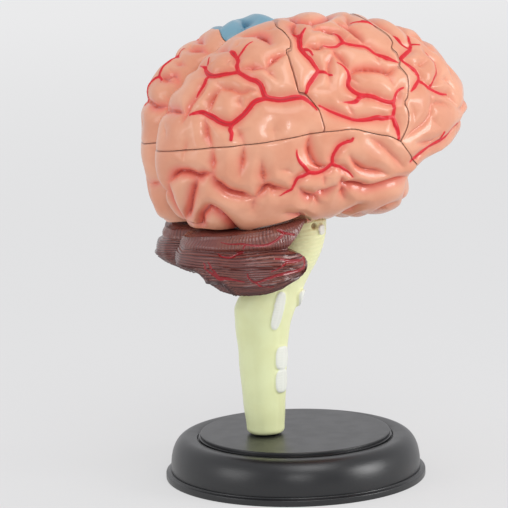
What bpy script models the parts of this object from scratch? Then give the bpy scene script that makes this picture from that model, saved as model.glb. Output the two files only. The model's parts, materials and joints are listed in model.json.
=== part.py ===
"""Take-apart desk model of a human brain on a round stand.

Each hemisphere is four lobes that pull off sideways on pegs, around an inner core that holds the deep
organs in shallow seats. The cerebellum is two halves on a lug of the brain stem, and the stem lifts
off a peg on the stand. +X is the forehead, +Y the model's left, +Z up. Lengths are metres unless a
name says otherwise; the origin is on the table under the middle of the brain.
"""
import math

import bmesh
import bpy
import numpy as np
from mathutils import Vector

MM = 0.001

# Fits
FIT = 0.0003                   # clearance all round a piece in its seat
SEAM = 0.0004                  # open line between neighbouring lobes
FISSURE = 0.0008               # open cleft between right and left pieces

# Hemispheres
BRAIN_CENTRE_Z = 0.104
BRAIN_TILT = math.radians(7.0)     # forehead up
BRAIN_HALF_WIDTH = 0.037
RIM_Y = 0.009                  # how far from the middle plane the side-view outline lies
RIM_DROP = 0.15                # share of the outline radius over which the rim rounds into the inner wall
GROOVE_WIDTH = 0.0045
GROOVE_DEPTH = 0.0026
HEMISPHERE_TRIANGLES = 1740    # of the thinned hemisphere, before it is cut into lobes

# Inner core and the pegs that carry the lobes
CORE_HALF_LENGTH = 0.034
CORE_HALF_HEIGHT = 0.018
CORE_DEPTH = 0.017             # from the middle plane outwards
CORE_RISE = 0.001              # core centre above the brain's centre
PEG_RADIUS = 0.0019
PEG_LENGTH = 0.008
PEG_ROOT = 0.004               # how deep a peg starts inside its lobe
ORGAN_DEPTH = 0.005            # how deep the outer organs sit in the core

# Cerebellum
CEREBELLUM_BELOW = 0.0345      # its level fissure below the brain's centre
CEREBELLUM_ROOM_X = -0.0235    # middle of the space over it, in side view
CEREBELLUM_ROOM_HALF_LENGTH = 0.0205
CEREBELLUM_ROOM_RISE = 0.011
CEREBELLUM_TRIANGLES = 380
LUG_RADIUS = 0.004
LUG_LENGTH = 0.009             # how far the stem's lug stands out behind it
LUG_DROP = 0.0015              # lug below the cerebellum's fissure
SIDE_PEG_RADIUS = 0.0013
SIDE_PEG_LENGTH = 0.0024

# Stem
STEM_TOP_GAP = 0.0252          # stem's top below the brain's centre
STEM_PEG_RADIUS = 0.003
STEM_PEG_LENGTH = 0.015
STEM_PEG_X = -0.001

# Stand
STAND_X = -0.0042
STAND_HEIGHT = 0.0135
FOOT_RADIUS = 0.0393
FOOT_HEIGHT = 0.0035
SHOULDER_RADIUS = 0.0372
DISC_RADIUS = 0.0287
STAND_PEG_RADIUS = 0.003
STAND_PEG_HEIGHT = 0.009

# Side-view outline of a hemisphere: angle from the forehead in degrees, distance from the centre in mm
OUTLINE = [
    (0, 48.6), (10, 48.4), (20, 47.2), (40, 42.4), (60, 38.2), (80, 36.2), (100, 36.5), (120, 38.0),
    (140, 41.5), (160, 46.0), (180, 48.0), (190, 48.0), (200, 47.0), (208, 45.0), (216, 41.0), (225, 36.0),
    (240, 28.5), (255, 24.5), (270, 24.0), (285, 26.5), (300, 30.5), (310, 33.5), (320, 35.5), (330, 36.0),
    (338, 36.5), (345, 39.5), (352, 45.0),
]
# The left hemisphere's outline differs by this much in mm
LEFT_REACH = [
    (0, -0.5), (50, -0.8), (75, -2), (100, -2), (120, -0.5), (135, 1), (150, 2.6), (162, 2), (174, -0.6),
    (188, -1.2), (198, 0.6), (207, 2.4), (216, 2), (228, 0), (360, -0.5),
]
FINE_BLUR = 3.5                # degrees of rounding of the outline at the rim
SOFT_BLUR = 22.0               # and on the side of the brain

# Lines on a hemisphere are in chart degrees: (forward, up) of the outermost point, 90 at the rim.
# Lobe seams; the first and last points of neighbouring lines are shared.
LOWER_REAR = [(-89.6, 8), (-70, 7.6), (-50, 7.1), (-40, 6.6), (-30, 6.4), (-20, 6.6), (-7.5, 7.3)]
LOWER_MIDDLE = [(-7.5, 7.3), (0, 7.3), (5, 6.3), (10, 3.6), (15, 1.6), (20, 0), (25.5, -3)]
LOWER_FRONT = [(25.5, -3), (30, -8), (38, -16), (45, -22), (60, -35), (83.3, -33.7)]
FRONTAL_SEAM = [
    (25.5, -3), (28, 1.2), (29, 4), (29.7, 7), (29, 11.2), (31, 13.5), (33, 16.3), (34.2, 19), (35, 23),
    (34.3, 28.3), (36.1, 30), (36.6, 34.7), (35.5, 38.5), (38.4, 42.4), (39.3, 47.5), (38.5, 51.5),
    (37.5, 58), (38.5, 76), (38.2, 81.4),
]
REAR_SEAM = {
    "right": [
        (-7.5, 7.3), (-7, 9), (-7.3, 12), (-7.8, 17), (-9, 19.5), (-10.8, 23), (-12.5, 25.5), (-15, 27),
        (-15.5, 34), (-16, 41), (-16.5, 50), (-14.5, 51.5), (-13.3, 57), (-14, 62), (-15, 66), (-17.7, 74),
        (-15.7, 88.5),
    ],
    "left": [(-7.5, 7.3), (-14, 14), (-19, 20), (-24, 30), (-28, 36), (-31, 50), (-37, 60), (-41.7, 79.6)],
}

# Hollow between the pole of the lower lobe and the underside of the front one, in the same chart
NOTCH = [(40, -18), (48, -26), (60, -35), (75, -35), (88, -34)]
NOTCH_DEPTH = 0.0065
NOTCH_WIDTH = 0.011

# Grooves between the folds of the cortex, in the same chart
GROOVES = [
    # rear lobe
    [(-40, 79), (-34, 76), (-30.5, 73.7), (-26, 66.5), (-24, 60)],
    [(-17.3, 50), (-24.6, 46.7), (-28.3, 41.9), (-37, 45.2), (-40.3, 45.8)],
    [(-28.3, 41.9), (-25.4, 37.7), (-24.3, 35.6)],
    [(-62, 57), (-63, 54), (-54.5, 45), (-45, 44), (-41.7, 44), (-35.5, 37.6), (-30.5, 33), (-28, 25.3),
     (-21.4, 23.6), (-15, 24.2), (-10.7, 19.7)],
    [(-58.5, 47.5), (-59, 43.5), (-62.5, 33.5)],
    [(-47.7, 63), (-42.3, 52.5), (-41.7, 44)],
    [(-52.5, 41.5), (-45.8, 34.5), (-41.3, 31.7), (-30.6, 28)],
    [(-54.5, 37), (-53.5, 33), (-55.3, 25), (-54, 16), (-52.6, 7.5)],
    [(-28, 25.3), (-36.2, 21.5), (-42.7, 16.2), (-51.2, 20.5), (-59.3, 24.3), (-64.8, 28), (-63.5, 38)],
    [(-42.7, 16.2), (-39.2, 11), (-37.8, 8.3)],
    [(-82, 33), (-70.5, 25), (-66, 12), (-67.5, 7)],
    [(-70, 61), (-78, 44), (-82, 33), (-88, 20), (-90, 14)],
    [(-26, 66.5), (-27, 78), (-30, 96)],
    [(-47.7, 63), (-52, 68), (-55, 71)],
    # middle lobe
    [(2, 64.6), (9.8, 61.4), (13.5, 57.5), (14, 51.2), (20.8, 46.8), (26, 42.3), (29.8, 36.5), (35.3, 30.6)],
    [(-3, 94), (-3, 80), (4, 74), (13, 76), (22, 82), (26, 97)],
    [(-3, 80), (-9, 72), (-8.5, 58.5)],
    [(30, 74), (26, 66), (21.8, 61.5)],
    [(-10, 65), (-8.5, 58.5), (-9, 55), (-6, 44.5), (-4, 37), (-8.8, 32), (-12, 26.5)],
    [(-8.8, 52.3), (-0.8, 51), (3.3, 51.7), (14, 51.2)],
    [(6.5, 49.5), (7.2, 44.4), (9.4, 39.8), (10, 32.3), (8.6, 25.2), (12.2, 20.5), (20.3, 15), (25, 12.8),
     (31.6, 18)],
    [(6.5, 46), (1.9, 39.3), (-1, 30.8), (0, 26)],
    [(19, 68), (21.8, 61.5), (24.7, 49), (25, 46)],
    [(12, 33), (21.5, 30.8), (27.8, 26.6), (34.3, 28.3)],
    [(27.8, 26.6), (27.2, 19.6)],
    [(25, 12.8), (23, 7), (24.7, -1.7)],
    [(23, 7), (16, 10), (8.2, 10), (0, 14.9), (-8, 19)],
    # front lobe
    [(45, 48.3), (46, 41.3), (48.8, 37.2), (38.8, 32.5), (42.7, 24.5), (42, 19.7), (34.3, 15.6)],
    [(48.8, 37.2), (57, 48), (62, 62)],
    [(43.2, 27.8), (52.5, 28.2)],
    [(42, 19.7), (46.8, 15.3), (54.6, 11.5), (61, 8.5), (66, 3)],
    [(46.8, 15.3), (54.9, 19.7), (60.4, 26), (58.6, 32), (70, 38)],
    [(47.4, 8.6), (46.4, 5.7), (50.4, -0.2)],
    [(43.6, 3.1), (36, 0.7), (30, -1.8)],
    [(75, -7), (66, -13), (57, -12), (47, -14), (37.3, -16.3)],
    [(52, 74), (46, 66), (45, 48.3)],
    [(70, 14.5), (76, 24), (74, 36), (84, 50)],
    [(57, 48), (64, 50), (70, 38)],
    [(66, 3), (76, 2), (84, 6), (90, 6)],
    [(76, 24), (94, 24)],
    [(75, -7), (96, -10)],
    [(57, -12), (62, -22), (72, -22), (84, -20)],
    # lower lobe
    [(-52.5, 7.3), (-53, -3.7), (-62.2, -3.9), (-72.1, -2.5), (-82, -8)],
    [(-61, -4.6), (-64.6, -10.2), (-69.8, -19), (-73.5, -24.5)],
    [(-53, -3.7), (-50.7, -9.6), (-45, -13.8), (-38.5, -16.8), (-33, -12), (-25, -15), (-17.7, -9.5),
     (-15.2, -8.4), (-6.1, -7.8), (1.7, 1.4), (4.4, 2.4)],
    [(-38.5, -16.8), (-41.5, -22.5)],
    [(-38.3, 7), (-40.3, 1), (-41.6, -5)],
    [(-31.1, -0.6), (-31.8, -5.9), (-33, -12)],
    [(-12.5, 7), (-13.4, 1.3), (-12, -7.8)],
    [(-21, -15.5), (-19.1, -25), (-16.5, -33)],
    [(-19.1, -25), (-12, -27), (-5, -26)],
    [(-73.5, -24.5), (-80, -32), (-83, -34)],
    [(-82, -8), (-84, -20)],
    [(-75, -34.5), (-66.3, -27), (-59.5, -20.8), (-54.8, -28.8), (-56, -41.5)],
    [(-30.5, -31), (-28.8, -36), (-26.5, -40)],
    [(-6.1, -7.8), (-4.5, -11.5), (0, -15.6), (5.2, -21.2)],
    [(3.5, -6.4), (7.9, -12.9), (15.3, -16.6), (23, -19.7)],
    [(11, 1.3), (20, -5.6), (30.8, -16.6)],
    [(-2, -21.5), (-1.3, -26), (10.7, -28.6), (22, -28.1), (35.8, -27)],
    [(-1.3, -26), (-1, -33), (0, -38)],
    [(11.5, -46), (8, -53), (3, -62)],
    [(38, -47), (33, -51), (31, -57), (33, -68), (36, -80)],
    [(-56, -41.5), (-58, -55), (-58, -66)],
    [(-26.5, -40), (-26, -52), (-30, -66), (-44, -70)],
    [(-30, -66), (-16, -64), (-10, -78)],
    [(3, -62), (5, -76), (4, -86)],
    [(18, -58), (20, -70), (18, -82)],
    [(48, -44), (56, -52), (62, -60)],
]

# Pegs of the lobes, side view in mm from the core's centre
PEGS = {
    "right": {"parietal": (-16, 10), "central": (9, 12), "frontal": (29.5, 0), "temporal": (10, -12)},
    "left": {"parietal": (-25, 8), "central": (2, 12.5), "frontal": (29.5, 0), "temporal": (10, -12)},
}

# Stem: share of its height, rear edge, front edge and half width in mm
STEM_SECTIONS = [
    (0.00, -17.9, -9.1, 4.4), (0.025, -19.2, -7.9, 5.6), (0.19, -20.2, -7.2, 6.1), (0.39, -21.2, -6.6, 6.8),
    (0.51, -22.0, -5.5, 7.4), (0.59, -22.2, -3.6, 7.8), (0.65, -20.3, -1.8, 7.8), (0.69, -16.6, -0.8, 7.6),
    (0.73, -13.6, 0.6, 7.9), (0.79, -11.4, 3.0, 8.9), (0.86, -9.8, 4.9, 9.6), (0.93, -8.8, 6.2, 9.4),
    (0.98, -8.2, 6.3, 8.6), (1.00, -7.0, 5.2, 7.4),
]
# Cut nerve ends on the stem's side: share of its height, place across it (-1 rear, 1 front), half height
# as a share, half width in mm, lean in degrees
NERVES = [
    (0.588, 0.25, 0.080, 2.1, 12), (0.649, 0.86, 0.049, 1.7, -20), (0.346, 0.56, 0.052, 1.8, 2),
    (0.240, 0.56, 0.049, 1.7, 4),
]

# Cerebellum: its sections stand along a bow from the middle plane round to the tip beside the stem
BOW = [(-26.0, 0.4), (-29.0, 24.0), (-7.5, 23.5)]     # x, y of the bow's three control points in mm
# Share of the way along the bow; reach of the section outwards, inwards, up and down in mm
BOW_SECTIONS = [
    (0.00, 11.5, 18.0, 8.2, 7.3), (0.06, 13.4, 17.5, 9.0, 7.5), (0.12, 15.6, 16.5, 9.4, 7.6),
    (0.22, 16.8, 14.5, 10.0, 7.7), (0.35, 15.8, 12.0, 10.4, 9.0), (0.50, 13.2, 9.6, 10.4, 10.0),
    (0.65, 10.6, 8.4, 10.4, 9.8), (0.80, 8.0, 7.5, 10.4, 7.8), (0.92, 5.0, 5.5, 10.4, 4.8),
    (1.00, 1.0, 1.0, 10.4, 0.8),
]
# Front edge in side view: height in degrees round the section, and how far it stands forward in mm
FRONT_EDGE = [(-90, 0), (-8, 0.2), (8, -0.2), (22, -4.8), (36, -2.6), (60, -0.6), (90, 0.2)]
TIP_DROP = 1.3                 # mm by which the tip hangs below the fissure
FISSURES = [(22, 1.0), (-8, 0.35), (-38, 0.35), (52, 0.35)]     # degrees round the section, depth share


def clear_scene():
    for obj in list(bpy.data.objects):
        bpy.data.objects.remove(obj)
    for collection in list(bpy.data.collections):
        bpy.data.collections.remove(collection)


def new_collection(name):
    collection = bpy.data.collections.new(name)
    bpy.context.scene.collection.children.link(collection)
    return collection


clear_scene()
PARTS = new_collection("brain_model")
CUTTERS = new_collection("cutters")


def material(name, colour, roughness):
    """Plain moulded plastic of one colour."""
    made = bpy.data.materials.new(name)
    made.use_nodes = True
    shader = made.node_tree.nodes["Principled BSDF"]
    shader.inputs["Base Color"].default_value = (*colour, 1.0)
    shader.inputs["Roughness"].default_value = roughness
    shader.inputs["Metallic"].default_value = 0.0
    return made


def part(name, mesh, finish):
    """A visible piece."""
    obj = bpy.data.objects.new(name, mesh)
    mesh.materials.clear()
    mesh.materials.append(finish)
    PARTS.objects.link(obj)
    return obj


def cutter(name, mesh):
    """A guide solid that only shapes other pieces."""
    obj = bpy.data.objects.new(name, mesh)
    obj.hide_render = True
    obj.display_type = "WIRE"
    CUTTERS.objects.link(obj)
    return obj


def boolean(obj, other, operation):
    step = obj.modifiers.new(operation.lower() + "_" + other.name, "BOOLEAN")
    step.operation = operation
    step.object = other
    step.solver = "EXACT"


def applied(obj):
    """The object's evaluated mesh, with its place in it; the object is removed."""
    bpy.context.view_layer.update()
    graph = bpy.context.evaluated_depsgraph_get()
    mesh = bpy.data.meshes.new_from_object(obj.evaluated_get(graph))
    mesh.transform(obj.matrix_world)
    bpy.data.objects.remove(obj)
    return mesh


def finish_mesh(bm, name):
    """Weld, point the faces outwards and shade a bmesh smooth with crisp edges."""
    bmesh.ops.remove_doubles(bm, verts=bm.verts, dist=1e-6)
    bmesh.ops.recalc_face_normals(bm, faces=bm.faces)
    mesh = bpy.data.meshes.new(name)
    bm.to_mesh(mesh)
    bm.free()
    mesh.shade_smooth()
    mesh.set_sharp_from_angle(angle=math.radians(40))
    return mesh


def prism(name, outline, y_near, y_far):
    """Flat outline (x, z) extruded across the brain from y_near to y_far."""
    curve = bpy.data.curves.new(name, "CURVE")
    curve.dimensions = "2D"
    curve.fill_mode = "BOTH"
    curve.extrude = abs(y_far - y_near) / 2
    spline = curve.splines.new("POLY")
    spline.points.add(len(outline) - 1)
    spline.points.foreach_set("co", [value for x, z in outline for value in (x, z, 0, 1)])
    spline.use_cyclic_u = True
    obj = bpy.data.objects.new(name, curve)
    obj.rotation_euler = (math.radians(90), 0, 0)
    obj.location = (0, (y_near + y_far) / 2, 0)
    CUTTERS.objects.link(obj)
    mesh = applied(obj)
    bm = bmesh.new()
    bm.from_mesh(mesh)
    return finish_mesh(bm, name)


def rod(name, start, end, radius, sides):
    """Round bar between two points."""
    start = np.array(start)
    span = np.array(end) - start
    bm = bmesh.new()
    bmesh.ops.create_cone(bm, cap_ends=True, segments=sides, radius1=radius, radius2=radius,
                          depth=float(np.linalg.norm(span)))
    mesh = finish_mesh(bm, name)
    obj = bpy.data.objects.new(name, mesh)
    obj.rotation_mode = "QUATERNION"
    obj.rotation_quaternion = Vector([float(value) for value in span]).to_track_quat("Z", "X")
    obj.location = start + span / 2
    mesh.transform(obj.matrix_basis)
    bpy.data.objects.remove(obj)
    return mesh


def ellipse(half_x, half_z, centre=(0, 0), sides=32, tilt=0.0, power=1.0):
    """Points of an ellipse in side view; a power below 1 squares it off."""
    turn = np.arange(sides) * 2 * math.pi / sides
    x = half_x * np.sign(np.cos(turn)) * np.abs(np.cos(turn)) ** power
    z = half_z * np.sign(np.sin(turn)) * np.abs(np.sin(turn)) ** power
    c, s = math.cos(tilt), math.sin(tilt)
    return np.stack([centre[0] + x * c - z * s, centre[1] + x * s + z * c], 1)


def ribbon(points, half_width, end_share=0.6):
    """Outline of a band along a middle line, narrower at its ends."""
    line = np.array(points, dtype=float)
    along = np.gradient(line, axis=0)
    along /= np.linalg.norm(along, axis=1)[:, None]
    across = np.stack([-along[:, 1], along[:, 0]], 1)
    share = np.ones(len(line))
    share[[0, -1]] = end_share
    side = across * (half_width * share)[:, None]
    reach = along * half_width * end_share
    return np.concatenate([line + side, [line[-1] + reach[-1]], (line - side)[::-1], [line[0] - reach[0]]])


def inset(outline, distance):
    """Closed outline moved inwards, with mitred corners; a negative distance moves it out."""
    points = np.array(outline, dtype=float)
    following = np.roll(points, -1, 0)
    if np.sum(points[:, 0] * following[:, 1] - following[:, 0] * points[:, 1]) < 0:
        points = points[::-1]
    edge = np.roll(points, -1, 0) - points
    edge /= np.linalg.norm(edge, axis=1)[:, None]
    normal = np.stack([-edge[:, 1], edge[:, 0]], 1)
    before = np.roll(normal, 1, 0)
    corner = distance / (1 + np.sum(normal * before, 1))
    return points + (normal + before) * corner[:, None]


# Base form of a hemisphere

def blurred_outline(side, blur):
    """Outline radius every half degree, rounded by a Gaussian of the given width in degrees."""
    rows = np.array(OUTLINE + [(360, OUTLINE[0][1])])
    turn = np.arange(720) / 2
    reach = np.interp(turn, rows[:, 0], rows[:, 1])
    if side > 0:
        extra = np.array(LEFT_REACH, dtype=float)
        reach += np.interp(turn, extra[:, 0], extra[:, 1])
    weight = np.exp(-0.5 * (np.minimum(turn, 360 - turn) / blur) ** 2)
    table = np.real(np.fft.ifft(np.fft.fft(reach * MM) * np.fft.fft(weight / weight.sum())))
    return turn, table


FINE_OUTLINE = {side: blurred_outline(side, FINE_BLUR) for side in (-1, 1)}
SOFT_OUTLINE = {side: blurred_outline(side, SOFT_BLUR) for side in (-1, 1)}


def outline_radius(table, turn):
    return np.interp(np.degrees(turn) % 360, np.append(table[0], 360), np.append(table[1], table[1][0]))


def hemisphere_surface(out, turn, side):
    """Smooth hemisphere at angle out from its outermost point, in the direction turn of the side view.

    Up to 90 degrees the side of the brain swells from the rim; past that the surface rounds over the
    rim and runs down the flat inner wall.
    """
    s, c = np.abs(np.sin(out)), np.cos(out)
    rim_share = np.where(c >= 0, s ** 6, 1.0)
    reach = (outline_radius(SOFT_OUTLINE[side], turn) * (1 - rim_share)
             + outline_radius(FINE_OUTLINE[side], turn) * rim_share)
    over = np.clip(-2 * c, 0, 1) * math.pi / 2
    down = np.clip(-2 * c - 1, 0, 1)
    inner = (1 - RIM_DROP * (1 - np.cos(over))) * (1 - down)
    lateral = RIM_Y + (BRAIN_HALF_WIDTH - RIM_Y) * np.abs(c) ** 0.95
    medial = RIM_Y - (RIM_Y - FISSURE / 2) * np.sin(over)
    reach = reach * np.where(c >= 0, s, inner)
    y = np.where(c >= 0, lateral, medial)
    return np.stack([reach * np.cos(turn), side * y, reach * np.sin(turn)], -1)


def chart(points, side):
    """Chart degrees to places on the smooth hemisphere."""
    points = np.array(points, dtype=float)
    out = np.radians(np.hypot(points[:, 0], points[:, 1]))
    return hemisphere_surface(out, np.arctan2(points[:, 1], points[:, 0]), side)


def beside(places, line, width):
    """For each run of a line: how near the places lie, 1 on it to 0 at the width, and the share along it."""
    for a, b in zip(line[:-1], line[1:]):
        edge = b - a
        t = np.clip((places - a) @ edge / (edge @ edge), 0, 1)
        away = np.linalg.norm(places - a - t[:, None] * edge, axis=1)
        yield np.clip(1 - away / width, 0, 1), t


def groove_depth(places, side):
    """How far each place is pushed in: the deepest of the grooves near it, shallower at their ends."""
    deepest = np.zeros(len(places))
    for groove in GROOVES:
        share = np.ones(len(groove))
        share[[0, -1]] = 0.5
        for index, (near, t) in enumerate(beside(places, chart(groove, side), GROOVE_WIDTH)):
            depth = share[index] + (share[index + 1] - share[index]) * t
            deepest = np.maximum(deepest, depth * near ** 1.6)
    return deepest * GROOVE_DEPTH


def notch_depth(places, side):
    """The hollow in front of the lower lobe, deeper towards the middle plane."""
    deepest = np.zeros(len(places))
    for index, (near, t) in enumerate(beside(places, chart(NOTCH, side), NOTCH_WIDTH)):
        along = np.clip((index + t) / 2, 0, 1)
        deepest = np.maximum(deepest, along * (1 - (1 - near) ** 2) ** 2)
    return deepest * NOTCH_DEPTH


def folded_hemisphere(side, triangles):
    """Hemisphere with its folds: a fine sphere taken to the base form, grooved, then thinned."""
    bm = bmesh.new()
    bmesh.ops.create_icosphere(bm, subdivisions=6, radius=1.0)
    mesh = bpy.data.meshes.new("hemisphere")
    bm.to_mesh(mesh)
    bm.free()
    count = len(mesh.vertices)
    flat = np.empty(count * 3, dtype=np.float32)
    mesh.vertices.foreach_get("co", flat)
    ball = flat.reshape(-1, 3).astype(float)
    places = hemisphere_surface(np.arccos(np.clip(-ball[:, 1], -1, 1)), np.arctan2(ball[:, 2], ball[:, 0]), side)
    mesh.vertices.foreach_set("co", places.ravel())
    if side > 0:
        mesh.flip_normals()
    mesh.update()
    normals = np.empty(count * 3, dtype=np.float32)
    mesh.vertices.foreach_get("normal", normals)
    push = groove_depth(places, side) + notch_depth(places, side)
    places -= normals.reshape(-1, 3) * push[:, None]
    mesh.vertices.foreach_set("co", places.ravel())
    mesh.update()
    obj = bpy.data.objects.new("hemisphere", mesh)
    CUTTERS.objects.link(obj)
    thin = obj.modifiers.new("thinned", "DECIMATE")
    thin.ratio = triangles / len(mesh.polygons)
    return applied(obj)


# Frame of the brain: its parts are modelled level and tilt with this empty
brain_frame = bpy.data.objects.new("brain_frame", None)
brain_frame.location = (0, 0, BRAIN_CENTRE_Z)
brain_frame.rotation_euler = (0, -BRAIN_TILT, 0)
PARTS.objects.link(brain_frame)


def in_brain(obj):
    obj.parent = brain_frame
    return obj


CORTEX = material("cortex", (0.84, 0.39, 0.25), 0.35)
BLUE = material("blue_cortex", (0.07, 0.28, 0.42), 0.30)
WHITE_MATTER = material("white_matter", (0.86, 0.80, 0.68), 0.45)
CEREBELLUM = material("cerebellum", (0.115, 0.045, 0.042), 0.30)
STEM = material("stem", (0.72, 0.74, 0.40), 0.45)
BLACK = material("stand_black", (0.028, 0.028, 0.031), 0.45)
ORGANS = {
    "callosum": material("callosum", (0.80, 0.78, 0.70), 0.40),
    "thalamus": material("thalamus", (0.42, 0.20, 0.45), 0.40),
    "nucleus": material("nucleus", (0.15, 0.33, 0.60), 0.40),
    "hippocampus": material("hippocampus", (0.20, 0.45, 0.22), 0.40),
    "amygdala": material("amygdala", (0.75, 0.42, 0.08), 0.40),
    "gland": material("gland", (0.70, 0.12, 0.12), 0.40),
}

SIDES = {"right": -1, "left": 1}
FAR = 0.065                    # guide solids reach past the brain
CORE_CENTRE = (0.0, CORE_RISE)


def core_outline(clearance):
    return ellipse(CORE_HALF_LENGTH + clearance, CORE_HALF_HEIGHT + clearance, CORE_CENTRE, sides=24)


# Stand: one black moulding, turned, with the peg that carries the stem

def stand():
    stem_foot_x = (STEM_SECTIONS[1][1] + STEM_SECTIONS[1][2]) / 2 * MM
    shoulder_rise = STAND_HEIGHT - FOOT_HEIGHT
    shoulder_span = SHOULDER_RADIUS - DISC_RADIUS
    edge = 0.0006
    profile = [(0, STAND_HEIGHT), (DISC_RADIUS - edge, STAND_HEIGHT), (DISC_RADIUS, STAND_HEIGHT - edge),
               (DISC_RADIUS + edge, STAND_HEIGHT - 3 * edge)]
    for step in range(7):
        turn = math.radians(115 - step * 115 / 6)
        radius = DISC_RADIUS + shoulder_span * (0.42 + 0.58 * math.cos(turn))
        profile.append((radius, FOOT_HEIGHT + shoulder_rise * (0.12 + 0.80 * math.sin(turn))))
    profile += [(SHOULDER_RADIUS, FOOT_HEIGHT), (FOOT_RADIUS - edge, FOOT_HEIGHT),
                (FOOT_RADIUS, FOOT_HEIGHT - edge), (FOOT_RADIUS, edge), (FOOT_RADIUS - edge, 0), (0, 0)]
    mesh = bpy.data.meshes.new("display_base")
    mesh.from_pydata([(x, 0, z) for x, z in profile], [(i, i + 1) for i in range(len(profile) - 1)], [])
    obj = bpy.data.objects.new("base_profile", mesh)
    CUTTERS.objects.link(obj)
    turn = obj.modifiers.new("turned", "SCREW")
    turn.axis = "Z"
    turn.steps = 28
    turn.render_steps = 28
    turn.use_merge_vertices = True
    turn.merge_threshold = 1e-5
    obj.location = (STAND_X, 0, 0)
    bm = bmesh.new()
    bm.from_mesh(applied(obj))
    base = part("display_base", finish_mesh(bm, "display_base"), BLACK)
    peg = cutter("stand_peg", rod("stand_peg", (stem_foot_x, 0, STAND_HEIGHT - 0.003),
                                  (stem_foot_x, 0, STAND_HEIGHT + STAND_PEG_HEIGHT), STAND_PEG_RADIUS, 12))
    boolean(base, peg, "UNION")
    return stem_foot_x


STEM_FOOT_X = stand()


# Brain stem: one moulding with its nerve ends, a peg into the core above and a lug for the cerebellum

STEM_BOTTOM = STAND_HEIGHT + FIT
STEM_TOP = BRAIN_CENTRE_Z - STEM_TOP_GAP


def stem_mesh(name, clearance, sides):
    """Loft through oval sections, grown by a clearance when it shapes a neighbour."""
    bm = bmesh.new()
    turn = np.arange(sides) * 2 * math.pi / sides
    rings = []
    for share, rear, front, half_width in STEM_SECTIONS:
        centre, half = (rear + front) / 2 * MM, (front - rear) / 2 * MM + clearance
        z = STEM_BOTTOM + share * (STEM_TOP - STEM_BOTTOM)
        x = centre + half * np.cos(turn)
        y = (half_width * MM + clearance) * np.sign(np.sin(turn)) * np.abs(np.sin(turn)) ** 0.85
        rings.append([bm.verts.new((float(a), float(b), z)) for a, b in zip(x, y)])
    for low, high in zip(rings[:-1], rings[1:]):
        for i in range(sides):
            j = (i + 1) % sides
            bm.faces.new((low[i], low[j], high[j], high[i]))
    bm.faces.new(rings[0])
    bm.faces.new(rings[-1])
    return finish_mesh(bm, name)


def stem_section(z):
    """Rear edge, front edge and half width of the stem at a height."""
    share = (z - STEM_BOTTOM) / (STEM_TOP - STEM_BOTTOM)
    rows = np.array(STEM_SECTIONS)
    return [float(np.interp(share, rows[:, 0], rows[:, k])) * MM for k in (1, 2, 3)]


def stem_side(x, z):
    """How far the stem's side stands from the middle plane at a place in side view."""
    rear, front, half_width = stem_section(z)
    off_centre = (2 * x - rear - front) / (front - rear)
    return half_width * max(0.0, 1 - off_centre ** 2) ** 0.43


CEREBELLUM_Z = BRAIN_CENTRE_Z - CEREBELLUM_BELOW
LUG_Z = CEREBELLUM_Z - LUG_DROP
LUG_START = stem_section(LUG_Z)[0] + 0.006
LUG_END = stem_section(LUG_Z)[0] - LUG_LENGTH
SIDE_PEG_X = LUG_END + LUG_RADIUS


def nerve(name, side, height, across, half_height, half_width, lean):
    """Flat cut end of a nerve, standing a little proud of the stem."""
    bm = bmesh.new()
    bmesh.ops.create_uvsphere(bm, u_segments=6, v_segments=4, radius=1.0)
    mesh = finish_mesh(bm, name)
    stem_height = STEM_TOP - STEM_BOTTOM
    z = STEM_BOTTOM + height * stem_height
    rear, front, _ = stem_section(z)
    x = (rear + front) / 2 + across * (front - rear) / 2
    obj = bpy.data.objects.new(name, mesh)
    obj.scale = (half_width * MM, 0.0016, half_height * stem_height)
    obj.rotation_euler = (0, math.radians(lean), 0)
    obj.location = (x, side * (stem_side(x, z) - 0.0005), z)
    mesh.transform(obj.matrix_basis)
    bpy.data.objects.remove(obj)
    return cutter(name, mesh)


def stem():
    obj = part("brain_stem", stem_mesh("brain_stem", 0.0, 16), STEM)
    top_peg = rod("stem_peg", (STEM_PEG_X, 0, STEM_TOP - 0.004), (STEM_PEG_X, 0, STEM_TOP + STEM_PEG_LENGTH),
                  STEM_PEG_RADIUS, 12)
    boolean(obj, cutter("stem_peg", top_peg), "UNION")
    lug = rod("lug", (LUG_START, 0, LUG_Z), (LUG_END, 0, LUG_Z), LUG_RADIUS, 12)
    boolean(obj, cutter("lug", lug), "UNION")
    for side_name, side in SIDES.items():
        for index, row in enumerate(NERVES):
            boolean(obj, nerve(f"{side_name}_nerve_{index}", side, *row), "UNION")
    socket = rod("foot_socket", (STEM_FOOT_X, 0, STEM_BOTTOM - 0.002),
                 (STEM_FOOT_X, 0, STAND_HEIGHT + STAND_PEG_HEIGHT + FIT), STAND_PEG_RADIUS + FIT, 12)
    boolean(obj, cutter("foot_socket", socket), "DIFFERENCE")
    hole = rod("lug_hole", (SIDE_PEG_X, -FAR, LUG_Z), (SIDE_PEG_X, FAR, LUG_Z), SIDE_PEG_RADIUS + FIT, 8)
    boolean(obj, cutter("lug_hole", hole), "DIFFERENCE")


stem()


# Cerebellum: two halves, each seated on the stem's lug and pegged into its side

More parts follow.
